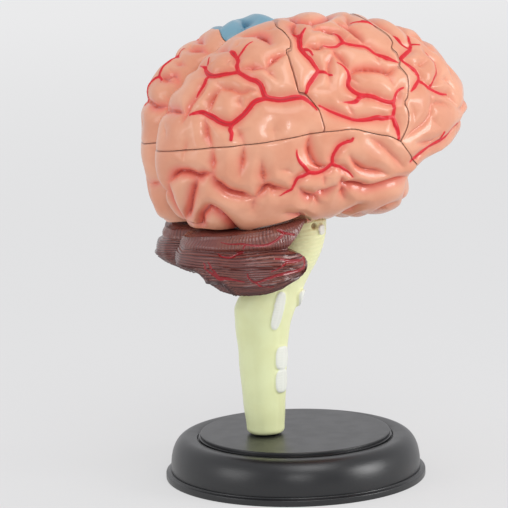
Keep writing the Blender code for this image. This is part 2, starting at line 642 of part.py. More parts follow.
def cerebellum_surface(along, turn, side):
    """Half of the cerebellum along its bow: turn 0 points outwards and 90 degrees up.

    The bow is a quadratic Bezier curve, each squarish oval section stands across it, fissures run level
    from end to end, and the front edge is drawn back at the deepest one.
    """
    weight = ((1 - along) ** 2, 2 * along * (1 - along), along ** 2)
    centre = [sum(w * point[k] for w, point in zip(weight, BOW)) for k in (0, 1)]
    run = [(1 - along) * (BOW[1][k] - BOW[0][k]) + along * (BOW[2][k] - BOW[1][k]) for k in (0, 1)]
    length = np.hypot(run[0], run[1])
    out_x, out_y = -run[1] / length, run[0] / length * np.clip(along / 0.1, 0, 1)
    rows = np.array(BOW_SECTIONS)
    outward, inward, up, down = [np.interp(along, rows[:, 0], rows[:, k]) for k in (1, 2, 3, 4)]
    c = np.sign(np.cos(turn)) * np.abs(np.cos(turn)) ** 0.85
    s = np.sign(np.sin(turn)) * np.abs(np.sin(turn)) ** 0.85
    degrees = np.degrees(np.arcsin(np.clip(np.sin(turn), -1, 1)))
    drawn_in = sum(share * np.exp(-((degrees - height) / 6.0) ** 2) for height, share in FISSURES)
    lateral = np.where(c > 0, outward, inward) * c * (1 - drawn_in * (0.09 + 0.36 * along ** 2))
    edge = np.interp(degrees, *np.array(FRONT_EDGE, dtype=float).T) * np.clip((along - 0.55) / 0.45, 0, 1) ** 2
    tip = TIP_DROP * along ** 3
    rise = np.where(s > 0, up * s - tip * (1 - np.clip(s, 0, 1)), down * s - tip)
    x = centre[0] + out_x * lateral + edge
    y = np.maximum(centre[1] + out_y * lateral, BOW[0][1])
    return x * MM, side * y * MM, CEREBELLUM_Z + rise * MM


def cerebellum_mesh(name, side, triangles):
    """A sphere's points taken to the bow: its poles end up in the middle of the two flat end faces."""
    bm = bmesh.new()
    bmesh.ops.create_uvsphere(bm, u_segments=64, v_segments=48, radius=1.0)
    mesh = bpy.data.meshes.new(name)
    bm.to_mesh(mesh)
    bm.free()
    flat = np.empty(len(mesh.vertices) * 3, dtype=np.float32)
    mesh.vertices.foreach_get("co", flat)
    dx, dy, dz = flat.reshape(-1, 3).astype(float).T
    pole_share = np.arccos(np.clip(dz, -1, 1)) / math.pi
    along = np.clip((pole_share - 0.1) / 0.8, 0, 1)
    spread = np.clip(pole_share / 0.1, 0, 1) * np.clip((1 - pole_share) / 0.1, 0, 1)
    turn = np.arctan2(dy, dx)
    rim = np.stack(cerebellum_surface(along, turn, side), 1)
    level = math.radians(FISSURES[0][0])
    middle = sum(np.stack(cerebellum_surface(along, 0 * turn + way, side), 1) for way in (level, math.pi - level)) / 2
    places = middle + (rim - middle) * spread[:, None]
    mesh.vertices.foreach_set("co", places.ravel())
    mesh.update()
    bm = bmesh.new()
    bm.from_mesh(mesh)
    obj = bpy.data.objects.new(name, finish_mesh(bm, name))
    CUTTERS.objects.link(obj)
    thin = obj.modifiers.new("thinned", "DECIMATE")
    thin.ratio = triangles / (2 * len(obj.data.polygons))
    made = applied(obj)
    made.shade_smooth()
    return made


def cerebellum():
    space = cutter("stem_space", stem_mesh("stem_space", FIT, 16))
    lug_space = cutter("lug_space", rod("lug_space", (LUG_START, 0, LUG_Z),
                                        (LUG_END - FIT, 0, LUG_Z), LUG_RADIUS + FIT, 12))
    for name, side in SIDES.items():
        obj = part(name + "_cerebellum", cerebellum_mesh(name + "_cerebellum", side, CEREBELLUM_TRIANGLES), CEREBELLUM)
        boolean(obj, space, "DIFFERENCE")
        boolean(obj, lug_space, "DIFFERENCE")
        tip = side * (LUG_RADIUS - SIDE_PEG_LENGTH)
        peg = rod("side_peg", (SIDE_PEG_X, side * (LUG_RADIUS + PEG_ROOT), LUG_Z), (SIDE_PEG_X, tip, LUG_Z),
                  SIDE_PEG_RADIUS, 8)
        boolean(obj, cutter(name + "_side_peg", peg), "UNION")


cerebellum()


# Inner core of each hemisphere, with the seats of the deep organs

def core_point(x, z):
    return (CORE_CENTRE[0] + x * MM, CORE_CENTRE[1] + z * MM)


def band(points, half_width):
    """Band-shaped organ outline from its middle line in mm from the core's centre."""
    return ribbon([core_point(x, z) for x, z in points], half_width * MM)


def blob(x, z, half_x, half_z, tilt=0.0):
    return ellipse(half_x * MM, half_z * MM, core_point(x, z), 10, math.radians(tilt))


def arch(half_x, half_z, start, end, steps):
    """Middle line of an arch over the thalamus, in mm from the core's centre."""
    return [(half_x * math.cos(math.radians(a)), half_z * math.sin(math.radians(a)) - 1.0)
            for a in np.linspace(start, end, steps)]


# name: outline, nearest and farthest distance from the middle plane, finish
FACE = CORE_DEPTH / MM
MIDLINE_ORGANS = {
    "corpus_callosum": (band(arch(17.5, 12.0, -5, 185, 9), 2.0), 4.0, "callosum"),
    "fornix": (band(arch(12.2, 7.6, 5, 175, 7), 1.1), 1.5, "callosum"),
    "hypothalamus": (blob(6.2, -6.2, 3.2, 2.0, 20), 2.5, "nucleus"),
    "pituitary_gland": (blob(12.0, -10.8, 2.3, 1.9), 2.2, "gland"),
    "pineal_gland": (blob(-10.2, -4.6, 2.0, 1.3), 1.6, "gland"),
}
SIDE_ORGANS = {
    "thalamus": (blob(-2.4, 0.4, 7.2, 3.9), 2.0, 8.0, "thalamus"),
    "caudate_nucleus": (band([(17, -1), (15, 3.5), (8, 6.3), (-1, 7.0), (-9, 5.2), (-15, 1.0)], 1.7),
                        FACE - ORGAN_DEPTH / MM, FACE - 0.3, "nucleus"),
    "lentiform_nucleus": (blob(4.0, 0.2, 7.0, 3.0), FACE - ORGAN_DEPTH / MM, FACE - 0.3, "nucleus"),
    "hippocampus": (band([(-15, -4.8), (-9.5, -7.0), (-3, -7.6), (4, -6.9)], 1.6),
                    FACE - ORGAN_DEPTH / MM, FACE - 0.3, "hippocampus"),
    "amygdala": (blob(10.5, -5.6, 3.0, 2.2), FACE - ORGAN_DEPTH / MM, FACE - 0.3, "amygdala"),
}


def seated(name, outline, y_near, y_far, finish):
    """A deep organ: a flat outline across the brain."""
    return in_brain(part(name, prism(name, outline, y_near, y_far), ORGANS[finish]))


def cores():
    cuts = {"right": [], "left": []}
    for name, (outline, half, finish) in MIDLINE_ORGANS.items():
        seated(name, outline, -half * MM, half * MM, finish)
        pocket = prism(name + "_pocket", inset(outline, -FIT), -half * MM - FIT, half * MM + FIT)
        pocket = in_brain(cutter(name + "_pocket", pocket))
        cuts["right"].append(pocket)
        cuts["left"].append(pocket)
    for side_name, side in SIDES.items():
        for name, (outline, near, far, finish) in SIDE_ORGANS.items():
            seated(f"{side_name}_{name}", outline, side * near * MM, side * far * MM, finish)
            from_middle = name == "thalamus"
            low = 0.0 if from_middle else near * MM - FIT
            high = far * MM + FIT if from_middle else CORE_DEPTH + 0.001
            pocket = prism(name + "_pocket", inset(outline, -FIT), side * low, side * high)
            cuts[side_name].append(in_brain(cutter(f"{side_name}_{name}_pocket", pocket)))
    stem_hole = cutter("stem_hole", rod("stem_hole", (STEM_PEG_X, 0, STEM_TOP - 0.002),
                                        (STEM_PEG_X, 0, STEM_TOP + STEM_PEG_LENGTH + FIT),
                                        STEM_PEG_RADIUS + FIT, 12))
    for side_name, side in SIDES.items():
        name = side_name + "_core"
        obj = in_brain(part(name, prism(name, core_outline(0), side * FISSURE / 2, side * CORE_DEPTH),
                            WHITE_MATTER))
        for pocket in cuts[side_name]:
            boolean(obj, pocket, "DIFFERENCE")
        boolean(obj, stem_hole, "DIFFERENCE")
        for lobe, (x, z) in PEGS[side_name].items():
            x, z = core_point(x, z)
            socket = rod("socket", (x, side * (CORE_DEPTH - PEG_LENGTH - FIT), z),
                         (x, side * (CORE_DEPTH + 0.002), z), PEG_RADIUS + FIT, 8)
            boolean(obj, in_brain(cutter(f"{side_name}_{lobe}_socket", socket)), "DIFFERENCE")
    return stem_hole


STEM_HOLE = cores()


# Lobes of the cortex: each hemisphere cut along its seams, hollowed for the core, with a peg

def lobe_outlines(side_name):
    """Side-view outlines of the four lobes, before the seams are opened."""
    seams = (LOWER_REAR, LOWER_MIDDLE, LOWER_FRONT, FRONTAL_SEAM, REAR_SEAM[side_name])
    rear, middle, front, frontal, parietal = [chart(seam, SIDES[side_name])[:, [0, 2]] for seam in seams]
    rear_end = [(-FAR, rear[0][1])]
    front_end = [(FAR, front[-1][1])]
    top_rear, top_front = [(parietal[-1][0], FAR)], [(frontal[-1][0], FAR)]
    return {
        "parietal": np.concatenate([rear_end, rear, parietal[1:], top_rear, [(-FAR, FAR)]]),
        "central": np.concatenate([middle, frontal[1:], top_front, top_rear, parietal[:0:-1]]),
        "frontal": np.concatenate([front, front_end, [(FAR, FAR)], top_front, frontal[:0:-1]]),
        "temporal": np.concatenate([rear_end, [(-FAR, -FAR)], [(FAR, -FAR)], front_end, front[::-1],
                                    middle[-2::-1], rear[-2::-1]]),
    }


def lobes():
    top = ellipse(CEREBELLUM_ROOM_HALF_LENGTH, CEREBELLUM_ROOM_RISE, (CEREBELLUM_ROOM_X, CEREBELLUM_Z), 28,
                  power=1 / 3)
    cerebellum_space = cutter("cerebellum_space", prism("cerebellum_space", top, -FAR, FAR))
    for side_name, side in SIDES.items():
        whole = folded_hemisphere(side, HEMISPHERE_TRIANGLES)
        hollow = prism("hollow", core_outline(FIT), -side * 0.001, side * (CORE_DEPTH + FIT))
        hollow = in_brain(cutter(side_name + "_hollow", hollow))
        for lobe, outline in lobe_outlines(side_name).items():
            name = f"{side_name}_{lobe}_lobe"
            finish = BLUE if name == "left_central_lobe" else CORTEX
            obj = in_brain(part(name, whole.copy(), finish))
            block = prism(name + "_block", inset(outline, SEAM / 2), -side * 0.001, side * FAR)
            boolean(obj, in_brain(cutter(name + "_block", block)), "INTERSECT")
            boolean(obj, hollow, "DIFFERENCE")
            if lobe == "temporal":
                boolean(obj, STEM_HOLE, "DIFFERENCE")
                boolean(obj, cerebellum_space, "DIFFERENCE")
            x, z = core_point(*PEGS[side_name][lobe])
            peg = rod(name + "_peg", (x, side * (CORE_DEPTH + PEG_ROOT), z),
                      (x, side * (CORE_DEPTH - PEG_LENGTH), z), PEG_RADIUS, 8)
            boolean(obj, in_brain(cutter(name + "_peg", peg)), "UNION")


lobes()
bpy.context.view_layer.update()
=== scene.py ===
"""Looks of the take-apart desk model of a brain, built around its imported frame.

The sections follow the model as it is put together: stand, stem, inner cores with their organs,
cerebellum, the eight lobes, and then the studio round it. Lengths are metres unless a name says so.
"""
import json
import math

import bpy
import numpy as np
from mathutils import Matrix, Vector


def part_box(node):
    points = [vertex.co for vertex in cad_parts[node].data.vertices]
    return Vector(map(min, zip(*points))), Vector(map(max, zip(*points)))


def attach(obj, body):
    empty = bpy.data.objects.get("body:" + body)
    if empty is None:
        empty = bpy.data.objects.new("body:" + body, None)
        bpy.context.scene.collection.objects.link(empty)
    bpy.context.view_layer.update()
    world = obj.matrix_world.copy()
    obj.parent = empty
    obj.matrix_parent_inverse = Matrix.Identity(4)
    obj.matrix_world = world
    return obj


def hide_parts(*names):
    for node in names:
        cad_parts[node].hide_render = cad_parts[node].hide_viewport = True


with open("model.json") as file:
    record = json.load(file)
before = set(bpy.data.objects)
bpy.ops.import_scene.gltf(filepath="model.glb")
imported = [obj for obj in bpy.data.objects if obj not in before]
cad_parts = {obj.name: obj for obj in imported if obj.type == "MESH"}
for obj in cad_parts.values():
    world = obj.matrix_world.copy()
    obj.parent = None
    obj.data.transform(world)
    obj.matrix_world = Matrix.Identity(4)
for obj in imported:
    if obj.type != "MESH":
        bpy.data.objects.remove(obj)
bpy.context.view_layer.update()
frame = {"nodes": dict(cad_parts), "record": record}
MM = 0.001


# Stand. One black injection moulding with a satin face: a raised disc for the stem, a rounded
# shoulder and a foot ring, turned about its own axis. A peg on the disc carries the stem.

STAND_HEIGHT = 0.0135
FOOT_HEIGHT = 0.0025
FOOT_RADIUS = 0.0393
BEAD_HEIGHT = 0.0006
BEAD_INSET = 0.0009
SHOULDER_RADIUS = 0.0377
SHOULDER_WALL = 0.0010         # upright part of the shoulder's side
SHOULDER_POWER = 0.9           # below 1 it makes the shoulder fuller than an ellipse
CREST_RADIUS = 0.0325
CREST_HEIGHT = 0.0126
DISC_RADIUS = 0.0287
EDGE = 0.0003                  # radius of the stand's rounded edges
STAND_PEG_RADIUS = 0.003
STAND_PEG_HEIGHT = 0.009
STAND_PEG_ROOT = 0.003         # part of the peg inside the stand
STAND_PEG_CHAMFER = 0.0005
STEM_FOOT_X = -0.01355
# Step down from the crest and groove round the disc: radius and height
STEP = [
    (0.0312, 0.01256), (0.0303, 0.01244), (0.0298, 0.01228), (0.0295, 0.01206), (0.0294, 0.01184),
    (0.0292, 0.01184), (0.0292, 0.01248), (0.0291, 0.01256),
]


def mesh_piece(name, places, faces, values=None):
    """Object from an array of places and lists of faces, smooth, with values for each point."""
    mesh = bpy.data.meshes.new(name)
    corners = np.concatenate([np.ravel(block) for block in faces])
    sizes = np.concatenate([np.full(len(block), block.shape[1]) for block in faces])
    mesh.vertices.add(len(places))
    mesh.vertices.foreach_set("co", np.asarray(places, dtype=np.float32).ravel())
    mesh.loops.add(len(corners))
    mesh.loops.foreach_set("vertex_index", corners.astype(np.int32))
    mesh.polygons.add(len(sizes))
    mesh.polygons.foreach_set("loop_start", (np.cumsum(sizes) - sizes).astype(np.int32))
    mesh.update(calc_edges=True)
    mesh.shade_smooth()
    for key, value in (values or {}).items():
        held = mesh.attributes.new(key, "FLOAT", "POINT")
        held.data.foreach_set("value", np.asarray(value, dtype=np.float32).ravel())
    obj = bpy.data.objects.new(name, mesh)
    bpy.context.scene.collection.objects.link(obj)
    return obj


def tube_faces(rings, sides):
    """Quads of a closed tube of rings of points, with one face over each end."""
    i, j = np.meshgrid(np.arange(rings - 1), np.arange(sides), indexing="ij")
    k = (j + 1) % sides
    walls = np.stack([i * sides + j, i * sides + k, (i + 1) * sides + k, (i + 1) * sides + j], -1)
    ends = np.stack([np.arange(sides)[::-1], np.arange(sides) + (rings - 1) * sides])
    return [walls.reshape(-1, 4), ends]


def turned(name, profile, sides, centre_x):
    """Solid of revolution: a profile of (radius, height) from bottom to top, carried round +Z."""
    profile = np.array(profile)
    turn = np.arange(sides) * 2 * math.pi / sides
    x = centre_x + profile[:, :1] * np.cos(turn)
    y = profile[:, :1] * np.sin(turn)
    z = profile[:, 1:] + 0 * turn
    return mesh_piece(name, np.stack([x, y, z], -1).reshape(-1, 3), tube_faces(len(profile), sides))


def join(obj, other, operation):
    """Cut or join two closed solids; the second one is used up."""
    step = obj.modifiers.new("step", "BOOLEAN")
    step.operation = operation
    step.object = other
    step.solver = "MANIFOLD"
    bpy.context.view_layer.update()
    old = obj.data
    obj.data = bpy.data.meshes.new_from_object(obj.evaluated_get(bpy.context.evaluated_depsgraph_get()))
    obj.modifiers.clear()
    bpy.data.meshes.remove(old)
    bpy.data.meshes.remove(other.data)


def finish(obj, material):
    """Give a piece its one material."""
    obj.data.materials.clear()
    obj.data.materials.append(material)


def crisp(obj, degrees):
    """Smooth shading with sharp edges past an angle."""
    obj.data.shade_smooth()
    obj.data.set_sharp_from_angle(angle=math.radians(degrees))


def node(tree, kind, inputs=None, **settings):
    """One shader node; its inputs are plain values or other nodes' sockets."""
    made = tree.nodes.new("ShaderNode" + kind)
    for name, value in settings.items():
        setattr(made, name, value)
    for key, value in (inputs or {}).items():
        if isinstance(value, bpy.types.NodeSocket):
            tree.links.new(value, made.inputs[key])
        else:
            made.inputs[key].default_value = value
    return made


def axis(tree, name, kind="Object"):
    """One coordinate of the shaded point, in the piece's own frame unless another kind is named."""
    return node(tree, "SeparateXYZ", {0: node(tree, "TexCoord").outputs[kind]}).outputs[name]


def noise(tree, scale, detail):
    """Noise over the piece, about 0 to 1."""
    where = node(tree, "TexCoord").outputs["Object"]
    return node(tree, "TexNoise", {"Vector": where, "Scale": scale, "Detail": detail}).outputs["Fac"]


def stored(tree, name):
    """Values that the mesh holds for each point."""
    return node(tree, "Attribute", attribute_name=name).outputs["Fac"]


def mixed(tree, share, first, second):
    """Colour between two colours."""
    return node(tree, "Mix", {0: share, 6: first, 7: second}, data_type="RGBA").outputs[2]


def between(tree, value, low, high, start=0.0, end=1.0):
    """Smooth change from start to end as a value goes from low to high."""
    made = node(tree, "MapRange", {"Value": value, "From Min": low, "From Max": high,
                                   "To Min": start, "To Max": end}, interpolation_type="SMOOTHSTEP")
    return made.outputs["Result"]


def calc(tree, operation, first, second):
    """Result of one sum, product or comparison."""
    return node(tree, "Math", {0: first, 1: second}, operation=operation).outputs[0]


def srgb(red, green, blue):
    """Linear colour of an 8-bit display colour, with full alpha."""
    value = np.array([red, green, blue]) / 255
    return (*np.where(value <= 0.04045, value / 12.92, ((value + 0.055) / 1.055) ** 2.4), 1.0)


def plastic(name, roughness, coat=0.0, coat_roughness=0.2, specular=0.5):
    """Material with a Principled shader, and the tree and shader to link into."""
    made = bpy.data.materials.new(name)
    made.use_nodes = True
    shader = made.node_tree.nodes["Principled BSDF"]
    shader.inputs["Roughness"].default_value = roughness
    shader.inputs["Coat Weight"].default_value = coat
    shader.inputs["Coat Roughness"].default_value = coat_roughness
    shader.inputs["Specular IOR Level"].default_value = specular
    return made, made.node_tree, shader


def moulded_skin():
    """Faint orange peel and uneven gloss of a moulded face: outputs a gloss change and a height."""
    group = bpy.data.node_groups.new("moulded_skin", "ShaderNodeTree")
    group.interface.new_socket("Scale", in_out="INPUT", socket_type="NodeSocketFloat")
    group.interface.new_socket("Gloss", in_out="OUTPUT", socket_type="NodeSocketFloat")
    group.interface.new_socket("Height", in_out="OUTPUT", socket_type="NodeSocketFloat")
    scale = group.nodes.new("NodeGroupInput").outputs[0]
    way_out = group.nodes.new("NodeGroupOutput")
    patch = noise(group, calc(group, "MULTIPLY", scale, 0.06), 3.0)
    group.links.new(between(group, patch, 0.3, 0.7, -1.0, 1.0), way_out.inputs["Gloss"])
    group.links.new(noise(group, scale, 2.0), way_out.inputs["Height"])
    return group


SKIN = moulded_skin()


def add_skin(tree, shader, scale, depth, roughness, swing):
    """Put the moulded skin on a shader: a bump of the given depth, roughness changing by a swing."""
    skin = node(tree, "Group", node_tree=SKIN)
    skin.inputs["Scale"].default_value = scale
    rough = node(tree, "Math", {0: skin.outputs["Gloss"], 1: swing, 2: roughness}, operation="MULTIPLY_ADD")
    tree.links.new(rough.outputs[0], shader.inputs["Roughness"])
    bump = node(tree, "Bump", {"Height": skin.outputs["Height"], "Strength": 1.0, "Distance": depth})
    tree.links.new(bump.outputs["Normal"], shader.inputs["Normal"])


def stand_profile():
    """(radius, height) of the stand from the foot up: foot ring with a bead, shoulder, stepped disc."""
    bend = np.radians(np.linspace(0, 90, 6))
    foot = [(FOOT_RADIUS * 0.02, 0), (FOOT_RADIUS * 0.9, 0)]
    foot_edge = np.stack([FOOT_RADIUS - EDGE * (1 - np.sin(bend)), EDGE * (1 - np.cos(bend))], 1)
    tops = [(FOOT_RADIUS, FOOT_HEIGHT - BEAD_HEIGHT), (FOOT_RADIUS - BEAD_INSET, FOOT_HEIGHT),
            (DISC_RADIUS, STAND_HEIGHT)]
    ring, bead, disc = [np.stack([radius - EDGE * (1 - np.cos(bend)), height - EDGE * (1 - np.sin(bend))], 1)
                        for radius, height in tops]
    turn = np.radians(np.linspace(0, 90, 40))
    start = FOOT_HEIGHT + SHOULDER_WALL
    shoulder = np.stack([CREST_RADIUS + (SHOULDER_RADIUS - CREST_RADIUS) * np.cos(turn) ** SHOULDER_POWER,
                         start + (CREST_HEIGHT - start) * np.sin(turn) ** SHOULDER_POWER], 1)
    inner = [(DISC_RADIUS * share, STAND_HEIGHT) for share in (0.97, 0.5, 0.02)]
    return np.concatenate([foot, foot_edge, ring, bead, [(SHOULDER_RADIUS, FOOT_HEIGHT)], shoulder, STEP,
                           [(DISC_RADIUS, STEP[-1][1])], disc, inner])


rear_corner, front_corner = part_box("display_base")
base = turned("stand_moulding", stand_profile(), sides=128, centre_x=(rear_corner.x + front_corner.x) / 2)
peg_top = STAND_HEIGHT + STAND_PEG_HEIGHT
peg_profile = [(STAND_PEG_RADIUS, STAND_HEIGHT - STAND_PEG_ROOT),
               (STAND_PEG_RADIUS, peg_top - STAND_PEG_CHAMFER),
               (STAND_PEG_RADIUS - STAND_PEG_CHAMFER, peg_top)]
join(base, turned("stand_peg", peg_profile, sides=32, centre_x=STEM_FOOT_X), "UNION")
crisp(base, degrees=40)

black, tree, shader = plastic("satin_black", roughness=0.34, specular=0.7)
add_skin(tree, shader, scale=2600.0, depth=0.00002, roughness=0.34, swing=0.02)
shader.inputs["Base Color"].default_value = (0.006, 0.0065, 0.008, 1)
finish(base, black)
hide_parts("display_base")
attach(base, "stand")


# Brain stem. One pale yellow-green moulding with a satin face: the column of the medulla, the banded
# pons above it and cut nerve ends moulded on. It stands on the stand's peg, its own peg goes up into
# the cores, and a round lug behind carries the cerebellum.

FIT = 0.0003
BRAIN_CENTRE_Z = 0.104
CEREBELLUM_Z = 0.0695
STEM_BOTTOM = STAND_HEIGHT + FIT
STEM_TOP = BRAIN_CENTRE_Z - 0.0252
STEM_PEG_X = -0.001
STEM_PEG_LENGTH = 0.015
STEM_PEG_RADIUS = 0.003
LUG_Z = CEREBELLUM_Z - 0.0015
LUG_RADIUS = 0.004
LUG_LENGTH = 0.009
SIDE_PEG_RADIUS = 0.0013
SIDE_PEG_LENGTH = 0.0024
STEM_SIDES = 144
STEM_ROWS = 230
STEM_SQUARE = 0.85             # below 1 it squares off the stem's ovals
FOOT_EDGE = 0.0016             # radius of the rounded edge round the foot
TOP_EDGE = 0.0012
OVERLAP = 0.004                # how far a peg runs into the solid that it is joined to
PONS_HEIGHTS = (0.0605, 0.064, 0.0765, 0.0783)   # where its bands begin, are full, fade and end
PONS_BAND = 0.00125
GROOVE_DEPTH = 0.00045
ROOT_DEPTH = 0.0009
STEM_SWELL = 0.00013
# Grooves down the medulla: direction and width in degrees
MEDULLA_GROOVES = [(128, 13), (232, 13), (62, 10), (298, 10)]

# Share of the stem's height, rear edge, front edge and half width in mm
STEM_SECTIONS = [
    (0.00, -19.2, -7.9, 5.6), (0.025, -19.2, -7.9, 5.6), (0.19, -20.2, -7.2, 6.1), (0.39, -21.2, -6.6, 6.8),
    (0.51, -22.0, -5.5, 7.4), (0.59, -22.2, -3.6, 7.8), (0.65, -20.3, -1.8, 7.8), (0.69, -16.6, -0.8, 7.6),
    (0.73, -13.6, 0.6, 7.9), (0.79, -11.4, 3.0, 8.9), (0.86, -9.8, 4.9, 9.6), (0.93, -8.8, 6.2, 9.4),
    (0.98, -8.2, 6.3, 8.8), (1.00, -8.2, 6.3, 8.8),
]
# Cut nerve ends on each side: x, z, half width and half length in mm, lean in degrees, height in mm
NERVES = [
    (-11.2, 52.2, 1.65, 5.7, 14, 0.55), (-2.6, 54.0, 1.6, 3.4, -10, 1.2), (-9.8, 37.5, 2.3, 3.5, 2, 0.65),
    (-9.9, 30.4, 2.2, 3.5, 2, 0.6), (2.5, 75.8, 1.1, 1.5, 0, 0.8),
]
CUT_ROOT = (0.3, 77.0, 1.4)   # brown hollow beside the top nerve: x, z, radius in mm


def fitted(along, rows, blur):
    """Values of a table of rows at places along it, with the corners rounded by a Gaussian."""
    rows = np.array(rows, dtype=float)
    fine = np.linspace(rows[0, 0], rows[-1, 0], 401)
    weight = np.exp(-0.5 * (np.arange(-40, 41) / 400 * (fine[-1] - fine[0]) / blur) ** 2)
    columns = []
    for column in rows[:, 1:].T:
        padded = np.pad(np.interp(fine, rows[:, 0], column), 40, mode="reflect", reflect_type="odd")
        columns.append(np.interp(along, fine, np.convolve(padded, weight / weight.sum(), mode="valid")))
    return columns


def squared(value, power):
    """Power of a sine or cosine that keeps its sign; below 1 it squares an oval off."""
    return np.sign(value) * np.abs(value) ** power


def stem_surface(clearance, height, turn):
    """Places on the stem grown by a clearance: ovals whose rear, front and side edges change with height."""
    share = (height - STEM_BOTTOM) / (STEM_TOP - STEM_BOTTOM)
    rear, front, half_width = fitted(share, STEM_SECTIONS, 0.014)
    x = (rear + front) / 2 * MM + ((front - rear) / 2 * MM + clearance) * np.cos(turn)
    y = (half_width * MM + clearance) * squared(np.sin(turn), STEM_SQUARE)
    return np.stack([x, y, height + 0 * turn], -1)


def rod(name, start, end, radius, sides):
    """Round bar between two points."""
    turn = np.arange(sides) * 2 * math.pi / sides
    span = Vector(end) - Vector(start)
    ring = np.stack([radius * np.cos(turn), radius * np.sin(turn), 0 * turn], 1)
    obj = mesh_piece(name, np.concatenate([ring, ring + (0, 0, span.length)]), tube_faces(2, sides))
    obj.data.transform(Matrix.Translation(start) @ span.to_track_quat("Z", "X").to_matrix().to_4x4())
    return obj


def smooth_step(value, low, high):
    """Smooth step from 0 to 1."""
    t = np.clip((value - low) / (high - low), 0, 1)
    return t * t * (3 - 2 * t)


def swell(places, seed, wavelength):
    """Smooth irregular swell between about -1 and 1, a sum of plane waves in set directions."""
    random = np.random.default_rng(seed)
    total = np.zeros(len(places))
    for _ in range(14):
        direction = random.normal(size=3)
        direction *= 2 * math.pi / (wavelength * random.uniform(0.7, 1.5) * np.linalg.norm(direction))
        total += np.sin(places @ direction + random.uniform(0, 2 * math.pi))
    return total / 5


def nerve_relief(x, y, z):
    """How far each place lies inside a cut nerve end of its side, 0 to 1, and its height in metres."""
    inside, height = np.zeros_like(x), np.zeros_like(x)
    for centre_x, centre_z, half_width, half_length, lean, rise in NERVES:
        c, s = math.cos(math.radians(lean)), math.sin(math.radians(lean))
        dx, dz = x / MM - centre_x, z / MM - centre_z
        across, down = (dx * c - dz * s) / half_width, (dx * s + dz * c) / half_length
        share = smooth_step((np.abs(across) ** 3 + np.abs(down) ** 3) ** (1 / 3), 1.14, 0.92)
        share = share * smooth_step(np.abs(y), 0.0016, 0.0026)
        ridges = np.abs(np.sin(math.pi * down * half_length / 0.8)) ** 0.5 * smooth_step(-across, -0.3, 0.1)
        height = np.where(share > inside, share * (rise - 0.2 * (1 - ridges)) * MM, height)
        inside = np.maximum(inside, share)
    return inside, height


def stem_column():
    """The moulding without its pegs, with how much each point is nerve and how deep it lies in a groove."""
    bend = np.linspace(0, math.pi / 2, 9)[:-1]
    height = np.concatenate([STEM_BOTTOM + FOOT_EDGE * (1 - np.cos(bend)),
                             np.linspace(STEM_BOTTOM + FOOT_EDGE, STEM_TOP - TOP_EDGE, STEM_ROWS),
                             STEM_TOP - TOP_EDGE * (1 - np.cos(bend))[::-1]])
    inset = np.zeros_like(height)
    inset[:len(bend)] = FOOT_EDGE * (1 - np.sin(bend))
    inset[-len(bend):] = TOP_EDGE * (1 - np.sin(bend))[::-1]
    turn = np.arange(STEM_SIDES) * 2 * math.pi / STEM_SIDES
    height, turn = np.meshgrid(height, turn, indexing="ij")
    places = stem_surface(-inset[:, None], height, turn)
    wave = swell(places.reshape(-1, 3), seed=5, wavelength=0.011).reshape(turn.shape)
    begin, full, fading, end = PONS_HEIGHTS
    pons = smooth_step(height, begin, full) * smooth_step(height, end, fading)
    pons *= smooth_step(np.cos(turn), -0.75, -0.25)
    band = np.abs(np.sin(math.pi * (height + 0.0003 * wave - 0.12 * places[..., 0]) / PONS_BAND)) ** 0.45
    groove = 0.55 * (1 - band) * pons
    medulla = smooth_step(-height, -0.0585, -0.053)
    for centre, width in MEDULLA_GROOVES:
        away = np.abs((np.degrees(turn) - centre + 180) % 360 - 180)
        groove = np.maximum(groove, 0.28 * medulla * np.exp(-(away / width) ** 2))
    inside, rise = nerve_relief(*np.moveaxis(places, -1, 0))
    root = 1 - np.hypot(places[..., 0] / MM - CUT_ROOT[0], places[..., 2] / MM - CUT_ROOT[1]) / CUT_ROOT[2]
    root = smooth_step(root, 0.0, 0.7) * (1 - inside)
    push = rise - GROOVE_DEPTH * groove * (1 - inside) - ROOT_DEPTH * root + STEM_SWELL * wave
    outward = np.stack([np.cos(turn), np.sin(turn), 0 * turn], -1)
    places = places + outward * (push * smooth_step(inset[:, None], 0.0004, 0.0))[..., None]
    values = {"nerve": inside, "groove": groove, "root": root}
    return mesh_piece("stem_moulding", places.reshape(-1, 3), tube_faces(*turn.shape), values)


def stem_rear(z):
    """Place of the stem's rear face at a height."""
    return float(stem_surface(0.0, np.array([z]), np.array([math.pi]))[0, 0])


LUG_START = stem_rear(LUG_Z) + 0.006
LUG_END = stem_rear(LUG_Z) - LUG_LENGTH
SIDE_PEG_X = LUG_END + LUG_RADIUS
stem = stem_column()
join(stem, rod("stem_peg", (STEM_PEG_X, 0, STEM_TOP - OVERLAP), (STEM_PEG_X, 0, STEM_TOP + STEM_PEG_LENGTH),
               STEM_PEG_RADIUS, sides=32), "UNION")
join(stem, rod("lug", (LUG_START, 0, LUG_Z), (LUG_END, 0, LUG_Z), LUG_RADIUS, sides=40), "UNION")
join(stem, rod("foot_socket", (STEM_FOOT_X, 0, STEM_BOTTOM - 0.002), (STEM_FOOT_X, 0, peg_top + FIT),
               STAND_PEG_RADIUS + FIT, sides=32), "DIFFERENCE")
join(stem, rod("lug_hole", (SIDE_PEG_X, -0.02, LUG_Z), (SIDE_PEG_X, 0.02, LUG_Z),
               SIDE_PEG_RADIUS + FIT, sides=24), "DIFFERENCE")
crisp(stem, degrees=50)

